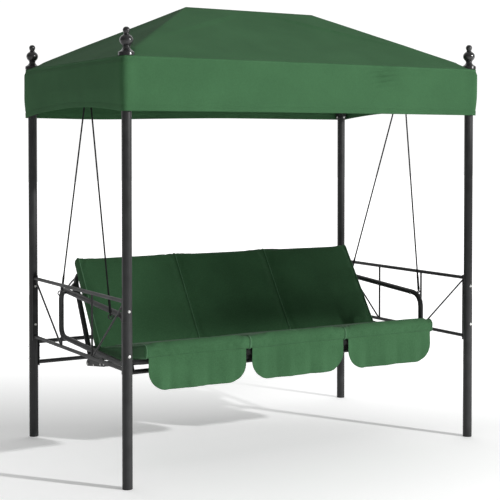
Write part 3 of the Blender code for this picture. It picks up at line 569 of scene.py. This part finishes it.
def canopy_piece():
    """Roof and valance as one sheet: rings from the ridge down to the eave's seam and on to the hem."""
    outline = eave_outline()
    rings = [roof_ring(outline, i / ROOF_RINGS) for i in range(ROOF_RINGS + 1)]
    for out, drop in EAVE_SEAM:
        rings.append([valance_point(x, y, EAVE_Z - drop, out) for x, y in outline])
    for i in range(1, VALANCE_RINGS + 1):
        rings.append([hanging_point(x, y, i / VALANCE_RINGS) for x, y in outline])
    obj = add_object("canopy_cover", loft(rings, smooth_angle=60, merge=1e-5), GREEN_TOP)
    obj.data.materials.append(EAVE)
    for face in obj.data.polygons:
        if EAVE_Z - 0.0092 < face.center.z < EAVE_Z - 0.0040 and abs(face.normal.z) < 0.9:
            face.material_index = 1
    modifier(obj, "SOLIDIFY", thickness=CLOTH_THICKNESS, offset=-1.0)
    applied(obj)
    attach(obj, "frame")
    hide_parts("canopy")


# ---------------- finials


def smooth_profile(points, steps=5):
    """A Catmull-Rom curve through (radius, z) points."""
    made = []
    padded = [points[0], *points, points[-1]]
    for i in range(1, len(padded) - 2):
        p0, p1, p2, p3 = (Vector(p) for p in padded[i - 1:i + 3])
        for k in range(steps):
            t = k / steps
            made.append(0.5 * ((2 * p1) + (p2 - p0) * t + (2 * p0 - 5 * p1 + 4 * p2 - p3) * t * t
                               + (3 * p1 - p0 - 3 * p2 + p3) * t ** 3))
    made.append(Vector(points[-1]))
    return [(max(0.0, p.x), p.y) for p in made]


def finial_profile():
    """(radius, height) of the turned finial from its top: ball, collar, bulb, ring and spreading foot."""
    ball = smooth_profile([(0.0, 0.1104), (0.0075, 0.1085), (0.0128, 0.1035), (0.0148, 0.0964),
                           (0.0135, 0.0890), (0.0105, 0.0830)])
    collar = [(0.0104, 0.0822), (0.0122, 0.0813), (0.0124, 0.0800), (0.0113, 0.0790)]
    bulb = smooth_profile([(0.0110, 0.0780), (0.0165, 0.0752), (0.0232, 0.0690), (0.0272, 0.0610),
                           (0.0279, 0.0530), (0.0255, 0.0445), (0.0200, 0.0370), (0.0150, 0.0322)])
    ring = [(0.0146, 0.0312), (0.0160, 0.0304), (0.0162, 0.0290), (0.0148, 0.0280)]
    foot = smooth_profile([(0.0142, 0.0270), (0.0160, 0.0215), (0.0215, 0.0150), (0.0285, 0.0100),
                           (0.0325, 0.0072), (0.0335, 0.0050)])
    return ball + collar + bulb + ring + foot + [(0.0335, -0.0070), (0.0, -0.0070)]


def finial_pieces():
    profile = finial_profile()
    for end, end_sign in ENDS.items():
        for side, sign in SIDES.items():
            name = f"finial_{end}_{side}"
            foot_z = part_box(name)[0].z + FINIAL_SPIGOT
            at = Matrix.Translation((sign * POST_X, end_sign * POST_Y, foot_z))
            piece = add_object(f"turned_{name}", lathe(profile, 56, at), GLOSS, "frame")
            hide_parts(name)


# ---------------- bolts


def dome_bolt(radius, height, shank):
    """(radius, height) of a domed bolt head on its flange about +Z, with a short shank below."""
    angles = [math.radians(degrees) for degrees in (90, 75, 60, 45, 30, 15, 0)]
    dome = [(radius * math.cos(a), 0.0012 + (height - 0.0012) * math.sin(a)) for a in angles]
    dome[0] = (0.0, height)
    flange = radius * 1.18
    return dome + [(flange, 0.0010), (flange, 0.0), (BOLT_RADIUS, 0.0), (BOLT_RADIUS, -shank), (0.0, -shank)]


def pointing(origin, direction):
    """Places a piece at an origin with its +Z turned to a direction."""
    turn = Vector((0, 0, 1)).rotation_difference(Vector(direction)).to_matrix().to_4x4()
    return Matrix.Translation(Vector(origin)) @ turn


def hex_nut(origin, direction, radius=0.0058, height=0.0045):
    """A hexagon nut with a chamfered rim and the bolt's end standing out of it."""
    at = pointing(origin, direction)
    rings = []
    for z, share in ((0.0, 0.93), (0.0006, 1.0), (height - 0.0006, 1.0), (height, 0.93)):
        rings.append([at @ Vector((radius * share * math.cos(a), radius * share * math.sin(a), z))
                      for a in (math.pi * k / 3 for k in range(6))])
    nut = loft(rings, caps=True, smooth_angle=25)
    tip = height + 0.003
    stem = [(0.0, tip), (0.0022, tip), (BOLT_RADIUS, height + 0.0024), (BOLT_RADIUS, 0.0), (0.0, 0.0)]
    return [nut, lathe(stem, 14, at)]


def small_nut(origin, direction):
    return hex_nut(origin, direction, 0.0055, 0.0035)


def frame_bolts():
    """The bolts and nuts of one pair of posts after the other: side panels, rear panel and roof."""
    head = dome_bolt(0.0052, 0.0042, 0.012)
    made = []
    for sign in SIDES.values():
        x = sign * POST_X
        for z in PANEL_BOLTS_Z:
            radius = LOWER_RADIUS if z < POST_JOINT_Z else UPPER_RADIUS
            for end_sign in ENDS.values():
                face_y = end_sign * (POST_Y + radius + HEAD_GAP)
                made.append(lathe(head, 28, pointing((x, face_y, z), (0, end_sign, 0))))
                made += hex_nut((x, end_sign * (POST_Y - LOWER_RADIUS - NUT_GAP), z), (0, -end_sign, 0))
        for z in REAR_BOLTS_Z:
            face_x = x + sign * (LOWER_RADIUS + HEAD_GAP)
            made.append(lathe(head, 28, pointing((face_x, POST_Y, z), (sign, 0, 0))))
            made += hex_nut((x - sign * (LOWER_RADIUS + NUT_GAP), POST_Y, z), (-sign, 0, 0))
        for end_sign in ENDS.values():
            y = end_sign * POST_Y
            inset = UPPER_RADIUS + NUT_GAP
            made.append(lathe(head, 28, pointing((x - sign * inset, y, ROOF_BOLT_Z), (-sign, 0, 0))))
            made.append(lathe(head, 28, pointing((x, y - end_sign * inset, ROOF_BOLT_Z), (0, -end_sign, 0))))
    add_object("frame_bolts", gather(made), ZINC, "frame")


def seat_bolts():
    """The nuts of the rope eyes and the small bolts of the seat's brackets."""
    head = dome_bolt(0.0044, 0.0030, 0.002)
    made = []
    for sign in SIDES.values():
        inner_x = sign * (ARMREST_X - TUBE_RADIUS)
        for end in ("rear", "front"):
            made += small_nut((inner_x, *EYES_YZ[end]), (-sign, 0, 0))
        for y, z in BRACKET_BOLTS_YZ:
            made.append(lathe(head, 22, pointing((sign * BRACKET_FACE_X, y, z), (sign, 0, 0))))
    add_object("seat_bolts", gather(made), ZINC, "swing")


def backrest_bolts():
    """The nuts that hold the recline plates on the backrest tube."""
    made = []
    for sign in SIDES.values():
        for along in RECLINE_BOLTS_AT:
            made += small_nut((sign * (SEAT_X - TUBE_RADIUS), *(HINGE + BACK_UP * along)), (-sign, 0, 0))
    add_object("backrest_bolts", gather(made), ZINC, "backrest")


# ---------------- ropes


def twisted(radius, pitch, strands=3, depth=0.16):
    """The radius of a rope of twisted strands, by place along and angle."""
    def radius_at(along, angle):
        turned = strands * (angle + 2 * math.pi * along / pitch) / 2
        return radius * (1 - depth + depth * abs(math.cos(turned)) ** 0.6)
    return radius_at


def splice_at(start, run, length):
    """The tapered splice where the rope's end is tucked back into it, with its whipping."""
    count = int(length / 0.0018)
    path = [start + run * (length * k / count) for k in range(count + 1)]
    strands = twisted(1.0, 0.014, 4, 0.14)

    def radius_at(along, angle):
        taper = 1 - ease((along / length - 0.55) / 0.45) * 0.42
        return 0.0056 * taper * strands(along, angle)

    def whipping(along, angle):
        return 0.0061 + 0.00035 * math.cos(2 * math.pi * along / 0.0016)

    wraps = [start + run * (0.004 + 0.012 * k / 40) for k in range(41)]
    return [sweep(path, radius_at, 14), sweep(wraps, whipping, 16)]


def eye_loop(centre, run, across, clearance):
    """The rope's bight through an eye or hole: a small loop in the rope's own plane."""
    reach = (clearance + 0.0005) / 2
    path = []
    for k in range(41):
        angle = 2 * math.pi * k / 40
        path.append(centre + run * (reach + reach * math.cos(angle) + 0.0015)
                    + across * (0.0052 * math.sin(angle)))
    return sweep(path, lambda along, angle: 0.0021, 10, caps=False)


def rope_ends(sign, end):
    """The centres of the armrest's eye and of the hanger's hole that a rope joins."""
    eye_y, eye_z = EYES_YZ[end]
    inward = -sign * (REAR_ROPE_INSET if end == "rear" else 0.0)
    hole_y = PIVOT_Y + (eye_y - PIVOT_Y) * ROPE_HOLE_DROP / (PIVOT_Z - eye_z)
    hole = Vector((sign * HANGER_X + inward, hole_y, PIVOT_Z - ROPE_HOLE_DROP))
    return Vector((sign * EYE_X + inward, eye_y, eye_z)), hole


def rope_pieces():
    """Four taut ropes from the armrests' eyes to the hanger plates, each with its splices and loops."""
    for side, sign in SIDES.items():
        for end in EYES_YZ:
            eye, hole = rope_ends(sign, end)
            run = (hole - eye).normalized()
            bottom, top = eye + run * ROPE_FROM_EYE, hole - run * ROPE_FROM_HOLE
            length = (top - bottom).length
            count = int(length / 0.0022)
            path = [bottom.lerp(top, k / count) for k in range(count + 1)]
            rope = add_object(f"rope_{end}_{side}_twisted", sweep(path, twisted(ROPE_RADIUS, ROPE_LAY)), ROPE,
                              "swing")
            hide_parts(f"rope_{end}_{side}")
            across = run.cross(Vector((1, 0, 0))).normalized()
            fittings = [*splice_at(bottom, run, LOW_SPLICE), eye_loop(eye, run, across, EYE_RADIUS),
                        *splice_at(top, -run, HIGH_SPLICE), eye_loop(hole, -run, across, HOLE_RADIUS)]
            splices = add_object(f"rope_splices_{end}_{side}", gather(fittings), ROPE, "swing")


# ---------------- slings


def wrap(centre, radius, normal, run):
    """Points of the sleeve round a bar, from the sheet's face on round the bar towards run."""
    angles = [math.radians(SLING_WRAP * k / 14) for k in range(15)]
    return [centre + (normal * math.cos(a) + run * math.sin(a)) * (radius + SLING_THICKNESS) for a in angles]


def sling_profile(first, second, radii, sag):
    """The sling's outline in the YZ plane: a sleeve, the sagging run between the bars, a sleeve."""
    run = (second - first).normalized()
    normal = Vector((-run.y, run.x))
    profile = wrap(first, radii[0], normal, -run)[::-1]
    for k in range(1, 40):
        t = k / 40
        radius = radii[0] + (radii[1] - radii[0]) * t + SLING_THICKNESS
        profile.append(first.lerp(second, t) + normal * (radius - sag * math.sin(math.pi * t)))
    return profile + wrap(second, radii[1], normal, run), normal


def sling_sheet(name, first, second, radii, body, extra=()):
    """A woven sling sewn round its two bars and drawn out along X."""
    profile, normal = sling_profile(first, second, radii, sag=0.004)
    rings = []
    for i in range(61):
        x = -SLING_HALF + 2 * SLING_HALF * i / 60
        edge = ease((SLING_HALF - abs(x)) / 0.02)
        ring = []
        for j, p in enumerate(profile):
            middle = math.sin(math.pi * max(0.0, min(1.0, (j - 15) / 40)))
            lift = normal * (-0.002 * middle * (1 - (x / SLING_HALF) ** 2) + 0.0006 * (1 - edge))
            ring.append((x, p.x + lift.x, p.y + lift.y))
        rings.append(ring)
    obj = add_object(name, loft(rings, closed_ring=False, smooth_angle=60), BLACK_WEAVE, body)
    modifier(obj, "SOLIDIFY", thickness=SLING_THICKNESS, offset=0.0)
    applied(obj)
    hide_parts(name.removesuffix("_woven"))


def sling_flap():
    """The loose tail of the seat sling that hangs below its front bar."""
    rings = []
    for i in range(93):
        x = -SLING_HALF + 2 * SLING_HALF * i / 92
        sway = 0.0012 * wave(x, 0, 0, 9.0, 4.0)
        rings.append([(x, -0.4065 + sway * k / 6 - 0.0004 * k, 0.4795 - 0.0225 * k / 6) for k in range(7)])
    obj = add_object("seat_sling_flap", loft(rings, closed_ring=False), BLACK_WEAVE, "swing")
    modifier(obj, "SOLIDIFY", thickness=SLING_THICKNESS, offset=0.0)
    return applied(obj)


def sling_pieces():
    sling_sheet("seat_sling_woven", SEAT_FRONT, SEAT_REAR, (TUBE_RADIUS, TUBE_RADIUS), "swing",
                [sling_flap()])
    sling_sheet("backrest_sling_woven", HINGE + BACK_UP * LOWER_BAR_AT, HINGE + BACK_UP * BACK_LENGTH,
                (BAR_RADIUS, TUBE_RADIUS), "backrest")


# ---------------- cushions


def arc_corner(corner, back, ahead, radius, steps):
    """Points of the arc that rounds a corner between two straight runs."""
    back, ahead = (back - corner).normalized(), (ahead - corner).normalized()
    half = back.angle(ahead) / 2
    centre = corner + (back + ahead).normalized() * (radius / math.sin(half))
    start = corner + back * (radius / math.tan(half)) - centre
    end = corner + ahead * (radius / math.tan(half)) - centre
    turn, points = start.angle(end), []
    for share in (k / steps for k in range(steps + 1)):
        reach = start * math.sin((1 - share) * turn) + end * math.sin(share * turn)
        points.append(centre + reach / math.sin(turn))
    return points


def resampled(outline, step):
    """A closed outline with points at even spacing."""
    loop = outline + [outline[0]]
    lengths = [0.0]
    for a, b in zip(loop, loop[1:]):
        lengths.append(lengths[-1] + (b - a).length)
    count = int(round(lengths[-1] / step))
    made, i = [], 0
    for k in range(count):
        at = lengths[-1] * k / count
        while lengths[i + 1] < at:
            i += 1
        share = (at - lengths[i]) / max(1e-9, lengths[i + 1] - lengths[i])
        made.append(loop[i].lerp(loop[i + 1], share))
    return made


def cushion_profile():
    """The closed side outline of a seat and back pad in one cover, with the stitched places on it."""
    corners = [
        ((-0.4325, 0.5075), 0.010),
        ((-0.4350, 0.5690), 0.020),
        ((-0.3800, 0.5545), 0.050),
        ((0.0400, 0.4865), 0.010),
        ((0.3045, 0.8800), 0.016),
        ((0.3440, 0.8530), 0.018),
        ((0.0880, 0.4720), 0.016),
        ((0.0660, 0.4285), 0.010),
    ]
    points = [Vector(place) for place, _ in corners]
    outline = []
    for i, (_, radius) in enumerate(corners):
        outline += arc_corner(points[i], points[i - 1], points[(i + 1) % len(points)], radius, 6)
    stitched = [points[0], points[3], points[4], points[5], points[7]]
    return resampled(outline, 0.0078), stitched


def outline_normals(outline):
    """The outward direction at each point of a closed outline."""
    count = len(outline)
    normals, area = [], 0.0
    for i, p in enumerate(outline):
        after = outline[(i + 1) % count]
        run = after - outline[i - 1]
        normals.append(Vector((run.y, -run.x)).normalized())
        area += p.x * after.y - after.x * p.y
    return normals if area > 0 else [-n for n in normals]


def end_stations(outer):
    """(distance from the end, inset) of the rings that round a pad's end and raise its welt."""
    if outer:
        return [(0.0, 0.0110), (0.0006, 0.0072), (0.0022, 0.0038), (0.0046, 0.0014), (0.0070, 0.0002),
                (0.0092, 0.0000), (0.0112, 0.0012), (0.0150, 0.0006), (0.0210, 0.0)]
    return [(0.0, 0.0052), (0.0003, 0.0024), (0.0012, 0.0006), (0.0026, -0.0006), (0.0042, -0.0004),
            (0.0056, 0.0009), (0.0100, 0.0006), (0.0170, 0.0)]


def pad_span(index):
    """Where a cushion starts and ends along X: the outer ones are a little fuller at their free end."""
    low = (index - 1.5) * CUSHION_WIDTH + CUSHION_GAP - (OUTER_FULLNESS if index == 0 else 0.0)
    high = (index - 0.5) * CUSHION_WIDTH - CUSHION_GAP + (OUTER_FULLNESS if index == 2 else 0.0)
    return low, high


def pad_stations(index):
    """(x, inset) of each ring of a cushion, close together where its ends round off."""
    low, high = pad_span(index)
    starts = [(low + d, inset) for d, inset in end_stations(index == 0)]
    ends = [(high - d, inset) for d, inset in end_stations(index == 2)][::-1]
    first, last = starts[-1][0], ends[0][0]
    between_ends = [(first + (last - first) * k / PAD_RINGS, 0.0) for k in range(1, PAD_RINGS)]
    return starts + between_ends + ends


def stitched_points(from_seam, ring_count):
    """The cover's points that its stitching holds: along the seams and on both ends."""
    around = len(from_seam)
    total = around * ring_count
    rim = around * (len(end_stations(True)) - 1)
    held = set(range(rim)) | set(range(total - rim, total))
    for j, seam in enumerate(from_seam):
        if seam < 0.0050:
            held.update(range(j, total, around))
    return sorted(held)


def fill_out(obj, held):
    """Lets the cover swell over its padding by cloth simulation, held fast at its stitching."""
    obj.vertex_groups.new(name="stitched").add(held, 1.0, "REPLACE")
    cover = obj.modifiers.new("Cover", "CLOTH")
    settings = cover.settings
    settings.quality = 4
    settings.mass = 0.20
    settings.tension_stiffness = settings.compression_stiffness = 14
    settings.shear_stiffness = 5
    settings.bending_stiffness = 0.5
    settings.shrink_min = -0.018
    settings.use_pressure = True
    settings.uniform_pressure_force = 3.0
    settings.vertex_group_mass = "stitched"
    settings.effector_weights.gravity = 0
    cover.collision_settings.use_collision = False
    cover.point_cache.frame_end = SWELL_FRAMES
    scene = bpy.context.scene
    for frame_number in range(1, SWELL_FRAMES + 1):
        scene.frame_set(frame_number)
    evaluated = obj.evaluated_get(bpy.context.evaluated_depsgraph_get())
    swollen = [vert.co.copy() for vert in evaluated.data.vertices]
    obj.modifiers.remove(cover)
    scene.frame_set(1)
    for vert, target in zip(obj.data.vertices, swollen):
        move = target - vert.co
        if move.length > MOST_SWELL:
            move *= MOST_SWELL / move.length
        vert.co += move


def end_welt(outline, normals, x):
    """A thin sewn cord round a pad's end, just proud of the cover."""
    along = Vector((1, 0, 0))
    angles = [math.pi * k / 4 for k in range(8)]
    rings = []
    for p, n in zip(outline, normals):
        out = Vector((0, n.x, n.y))
        centre = Vector((x, p.x, p.y)) + out * WELT_PROUD
        rings.append([centre + (out * math.cos(a) + along * math.sin(a)) * WELT_RADIUS for a in angles])
    return loft(rings, closed_rings=True, smooth_angle=80)


def add_welts(obj, welts):
    """Joins the welts to a cushion, in their own lighter green material: a painted highlight along the seams.
    """
    shape = bmesh.new()
    shape.from_mesh(obj.data)
    count = len(shape.faces)
    for welt in welts:
        shape.from_mesh(welt)
    shape.faces.ensure_lookup_table()
    for face in shape.faces[count:]:
        face.material_index = 1
    shape.to_mesh(obj.data)
    shape.free()
    obj.data.materials.append(WELT_PAINTED_HIGHLIGHT)


def cushion_piece(index, name):
    """One long cushion, seat and back: a crowned closed form with welted ends."""
    outline, stitched = cushion_profile()
    normals = outline_normals(outline)
    from_seam = [min((p - s).length for s in stitched) for p in outline]
    low, high = pad_span(index)
    stations = pad_stations(index)
    seed = 3.7 * index + 1.3
    middle, half = (low + high) / 2, (high - low) / 2
    rings = []
    for x, inset in stations:
        across = abs(x - middle) / half
        crown = 1 - across ** 4
        gathered = ease((across - 0.62) / 0.38) * (0.0 if across > 0.985 else 1.0)
        ring = []
        for p, n, seam in zip(outline, normals, from_seam):
            puff = 0.0040 * crown * ease(seam / 0.05)
            ripple = 0.0013 * wave(x * 0.7, p.x * 1.6, p.y * 1.6, 17.0, seed) * (0.25 + gathered)
            broad = 0.0022 * wave(x, p.x, p.y, 5.0, seed + 5.0) * crown
            offset = puff + ripple + broad - inset - 0.0010
            ring.append((x, p.x + n.x * offset, p.y + n.y * offset))
        rings.append(ring)
    obj = add_object(f"cushion_{name}", loft(rings, caps=True, smooth_angle=70), GREEN)
    fill_out(obj, stitched_points(from_seam, len(stations)))
    welted = ((low + WELT_INSET,), (low, high), (high - WELT_INSET,))[index]
    add_welts(obj, [end_welt(outline, normals, x) for x in welted])
    return obj


def skirt_bottom(across, half):
    """Height of a skirt's lower edge, at a distance from its middle: level, with round corners."""
    into_corner = across - half + SKIRT_CORNER
    if into_corner <= 0:
        return SKIRT_LOW
    return SKIRT_LOW + SKIRT_CORNER - math.sqrt(max(0.0, SKIRT_CORNER ** 2 - into_corner ** 2))


def skirt_hem(rings, name):
    """The bound edge of a flap: a thin sewn roll along its sides and bottom."""
    edge = [Vector(p) for p in rings[0][2:-1]] + [Vector(ring[-1]) for ring in rings]
    edge += [Vector(p) for p in rings[-1][-2:1:-1]]
    path = [edge[0]]
    for point in edge[1:]:
        if (point - path[-1]).length > 0.0025:
            path.append(point)
    mesh = sweep(path, lambda along, angle: 0.0013 + 0.00018 * math.cos(2 * math.pi * along / 0.0044), 8)
    return add_object(f"skirt_hem_{name}", mesh, GREEN, "swing")


def skirt_piece(index, name):
    """The flap that hangs under the front roll: softly folded cloth with round corners and a sewn hem."""
    centre_x, half = (index - 1) * CUSHION_WIDTH + SKIRT_SHIFTS[index], SKIRT_HALVES[index]
    depth = SKIRT_TOP - SKIRT_LOW
    columns, rows = 97, 44
    seed = 2.9 * index + 0.7
    rings = []
    for i in range(columns):
        u = math.sin(math.pi / 2 * (-1 + 2 * i / (columns - 1)))
        bottom = skirt_bottom(abs(u) * half, half)
        fold = sum(height * math.exp(-((u - place + 0.05 * math.sin(seed + place * 9)) / width) ** 2)
                   for place, width, height in SKIRT_FOLDS)
        ring = []
        for j in range(rows):
            z = SKIRT_TOP + (bottom - SKIRT_TOP) * j / (rows - 1)
            hang = (SKIRT_TOP - z) / depth
            wobble = 0.0028 * wave(u * 0.25, 0, z, 9.0, seed)
            y = SKIRT_Y - 0.0075 * hang ** 0.7 * fold - wobble * hang - 0.004 * hang ** 2
            flutter = 0.012 * wave(0.4, 0, z, 14.0, seed + (4 if u > 0 else 0))
            ring.append((centre_x + u * half * (1 + 0.006 * hang + flutter * hang), y, z))
        rings.append(ring)
    obj = add_object(f"skirt_{name}", loft(rings, closed_ring=False, smooth_angle=60), GREEN, "swing")
    modifier(obj, "SOLIDIFY", thickness=0.0016, offset=0.0)
    applied(obj)
    hem = skirt_hem(rings, name)


def build_cushions():
    for index, name in enumerate(("left", "middle", "right")):
        cushion = cushion_piece(index, name)
        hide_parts(f"seat_cushion_{name}", f"back_cushion_{name}")
        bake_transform(cushion)
        skirt_piece(index, name)


# ---------------- stage


def studio_world():
    """A bright wall behind the bench that fades to dim grey round it. The camera sees it as plain white."""
    world = bpy.data.worlds.new("studio")
    world.use_nodes = True
    tree = world.node_tree
    direction = node(tree, "ShaderNodeTexCoord").outputs["Generated"]
    strength = between(tree, reach_along(tree, direction, BEHIND), 0.20, 0.80, 0.165, 1.05)
    overhead = node(tree, "ShaderNodeSeparateXYZ", {0: direction}).outputs["Z"]
    strength = plus(tree, strength, between(tree, overhead, 0.2, 1.0, 0.0, 0.30))
    seen = node(tree, "ShaderNodeLightPath").outputs["Is Camera Ray"]
    strength = maths(tree, "MAXIMUM", strength, seen)
    background = tree.nodes["Background"]
    background.inputs["Color"].default_value = (1, 1, 1, 1)
    tree.links.new(strength, background.inputs["Strength"])
    return world


def banded_key():
    """A key light from the front right, flagged so that the seat's back stays in the shade of the roof."""
    data = bpy.data.lights.new("key", "SPOT")
    data.energy = KEY_POWER
    data.spot_size = math.radians(160)
    data.spot_blend = 0.1
    data.shadow_soft_size = 0.14
    data.use_nodes = True
    tree = data.node_tree
    split = node(tree, "ShaderNodeSeparateXYZ", {0: node(tree, "ShaderNodeTexCoord").outputs["Normal"]})
    aside, rise, depth = (maths(tree, "ABSOLUTE", part) for part in split.outputs)
    slope, bearing = maths(tree, "DIVIDE", rise, depth), maths(tree, "DIVIDE", aside, depth)
    leak = between(tree, bearing, 0.600, 0.665, 0.030, 0.50)
    below = between(tree, slope, 0.338, 0.366, 0.91, leak)
    above = between(tree, slope, 0.449, 0.457, 0.0, 1.0)
    fall = between(tree, bearing, 0.52, 0.79, 0.76, 1.0)
    strength = times(tree, maths(tree, "MAXIMUM", below, above), fall)
    tree.links.new(strength, tree.nodes["Emission"].inputs["Strength"])
    light = bpy.data.objects.new("key", data)
    bpy.context.scene.collection.objects.link(light)
    light.location = KEY_PLACE
    light.rotation_euler = (math.radians(90), 0, 0)


def place_camera():
    scene = bpy.context.scene
    data = bpy.data.cameras.new("camera")
    data.lens = 88.52
    data.sensor_width = 36.0
    data.shift_y = -0.1443
    camera = bpy.data.objects.new("camera", data)
    scene.collection.objects.link(camera)
    camera.location = (-3.0133, -5.0892, 1.4039)
    camera.rotation_euler = (math.radians(90 - 1.5), 0, math.radians(-30.604))
    scene.camera = camera


def lay_floor():
    """A pale plain floor that glows as painted light: faintly in front and more towards the wall behind."""
    mesh = bpy.data.meshes.new("floor")
    corners = [(-FLOOR_REACH, -FLOOR_REACH, 0), (FLOOR_REACH, -FLOOR_REACH, 0),
               (FLOOR_REACH, FLOOR_REACH, 0), (-FLOOR_REACH, FLOOR_REACH, 0)]
    mesh.from_pydata(corners, [], [(0, 1, 2, 3)])
    material = bpy.data.materials.new("pale_floor")
    material.use_nodes = True
    tree = material.node_tree
    shader = tree.nodes["Principled BSDF"]
    shader.inputs["Base Color"].default_value = (0.94, 0.94, 0.94, 1)
    shader.inputs["Roughness"].default_value = 0.9
    shader.inputs["Emission Color"].default_value = (1, 1, 1, 1)
    # Painted light: the floor's glow rises from faint in front to strong towards the back.
    back = reach_along(tree, object_coords(tree), BEHIND)
    coloured(tree, between(tree, back, 0.2, 2.6, 0.14, 0.80), "Emission Strength")
    floor = add_object("floor", mesh, material)
    floor.location.z = -0.0005


def build_stage():
    scene = bpy.context.scene
    scene.view_settings.view_transform = "Standard"
    scene.view_settings.look = "None"
    place_camera()
    scene.world = studio_world()
    lay_floor()
    banded_key()


build_stage()
dress_cad_nodes()
canopy_piece()
finial_pieces()
frame_bolts()
seat_bolts()
backrest_bolts()
rope_pieces()
sling_pieces()
build_cushions()
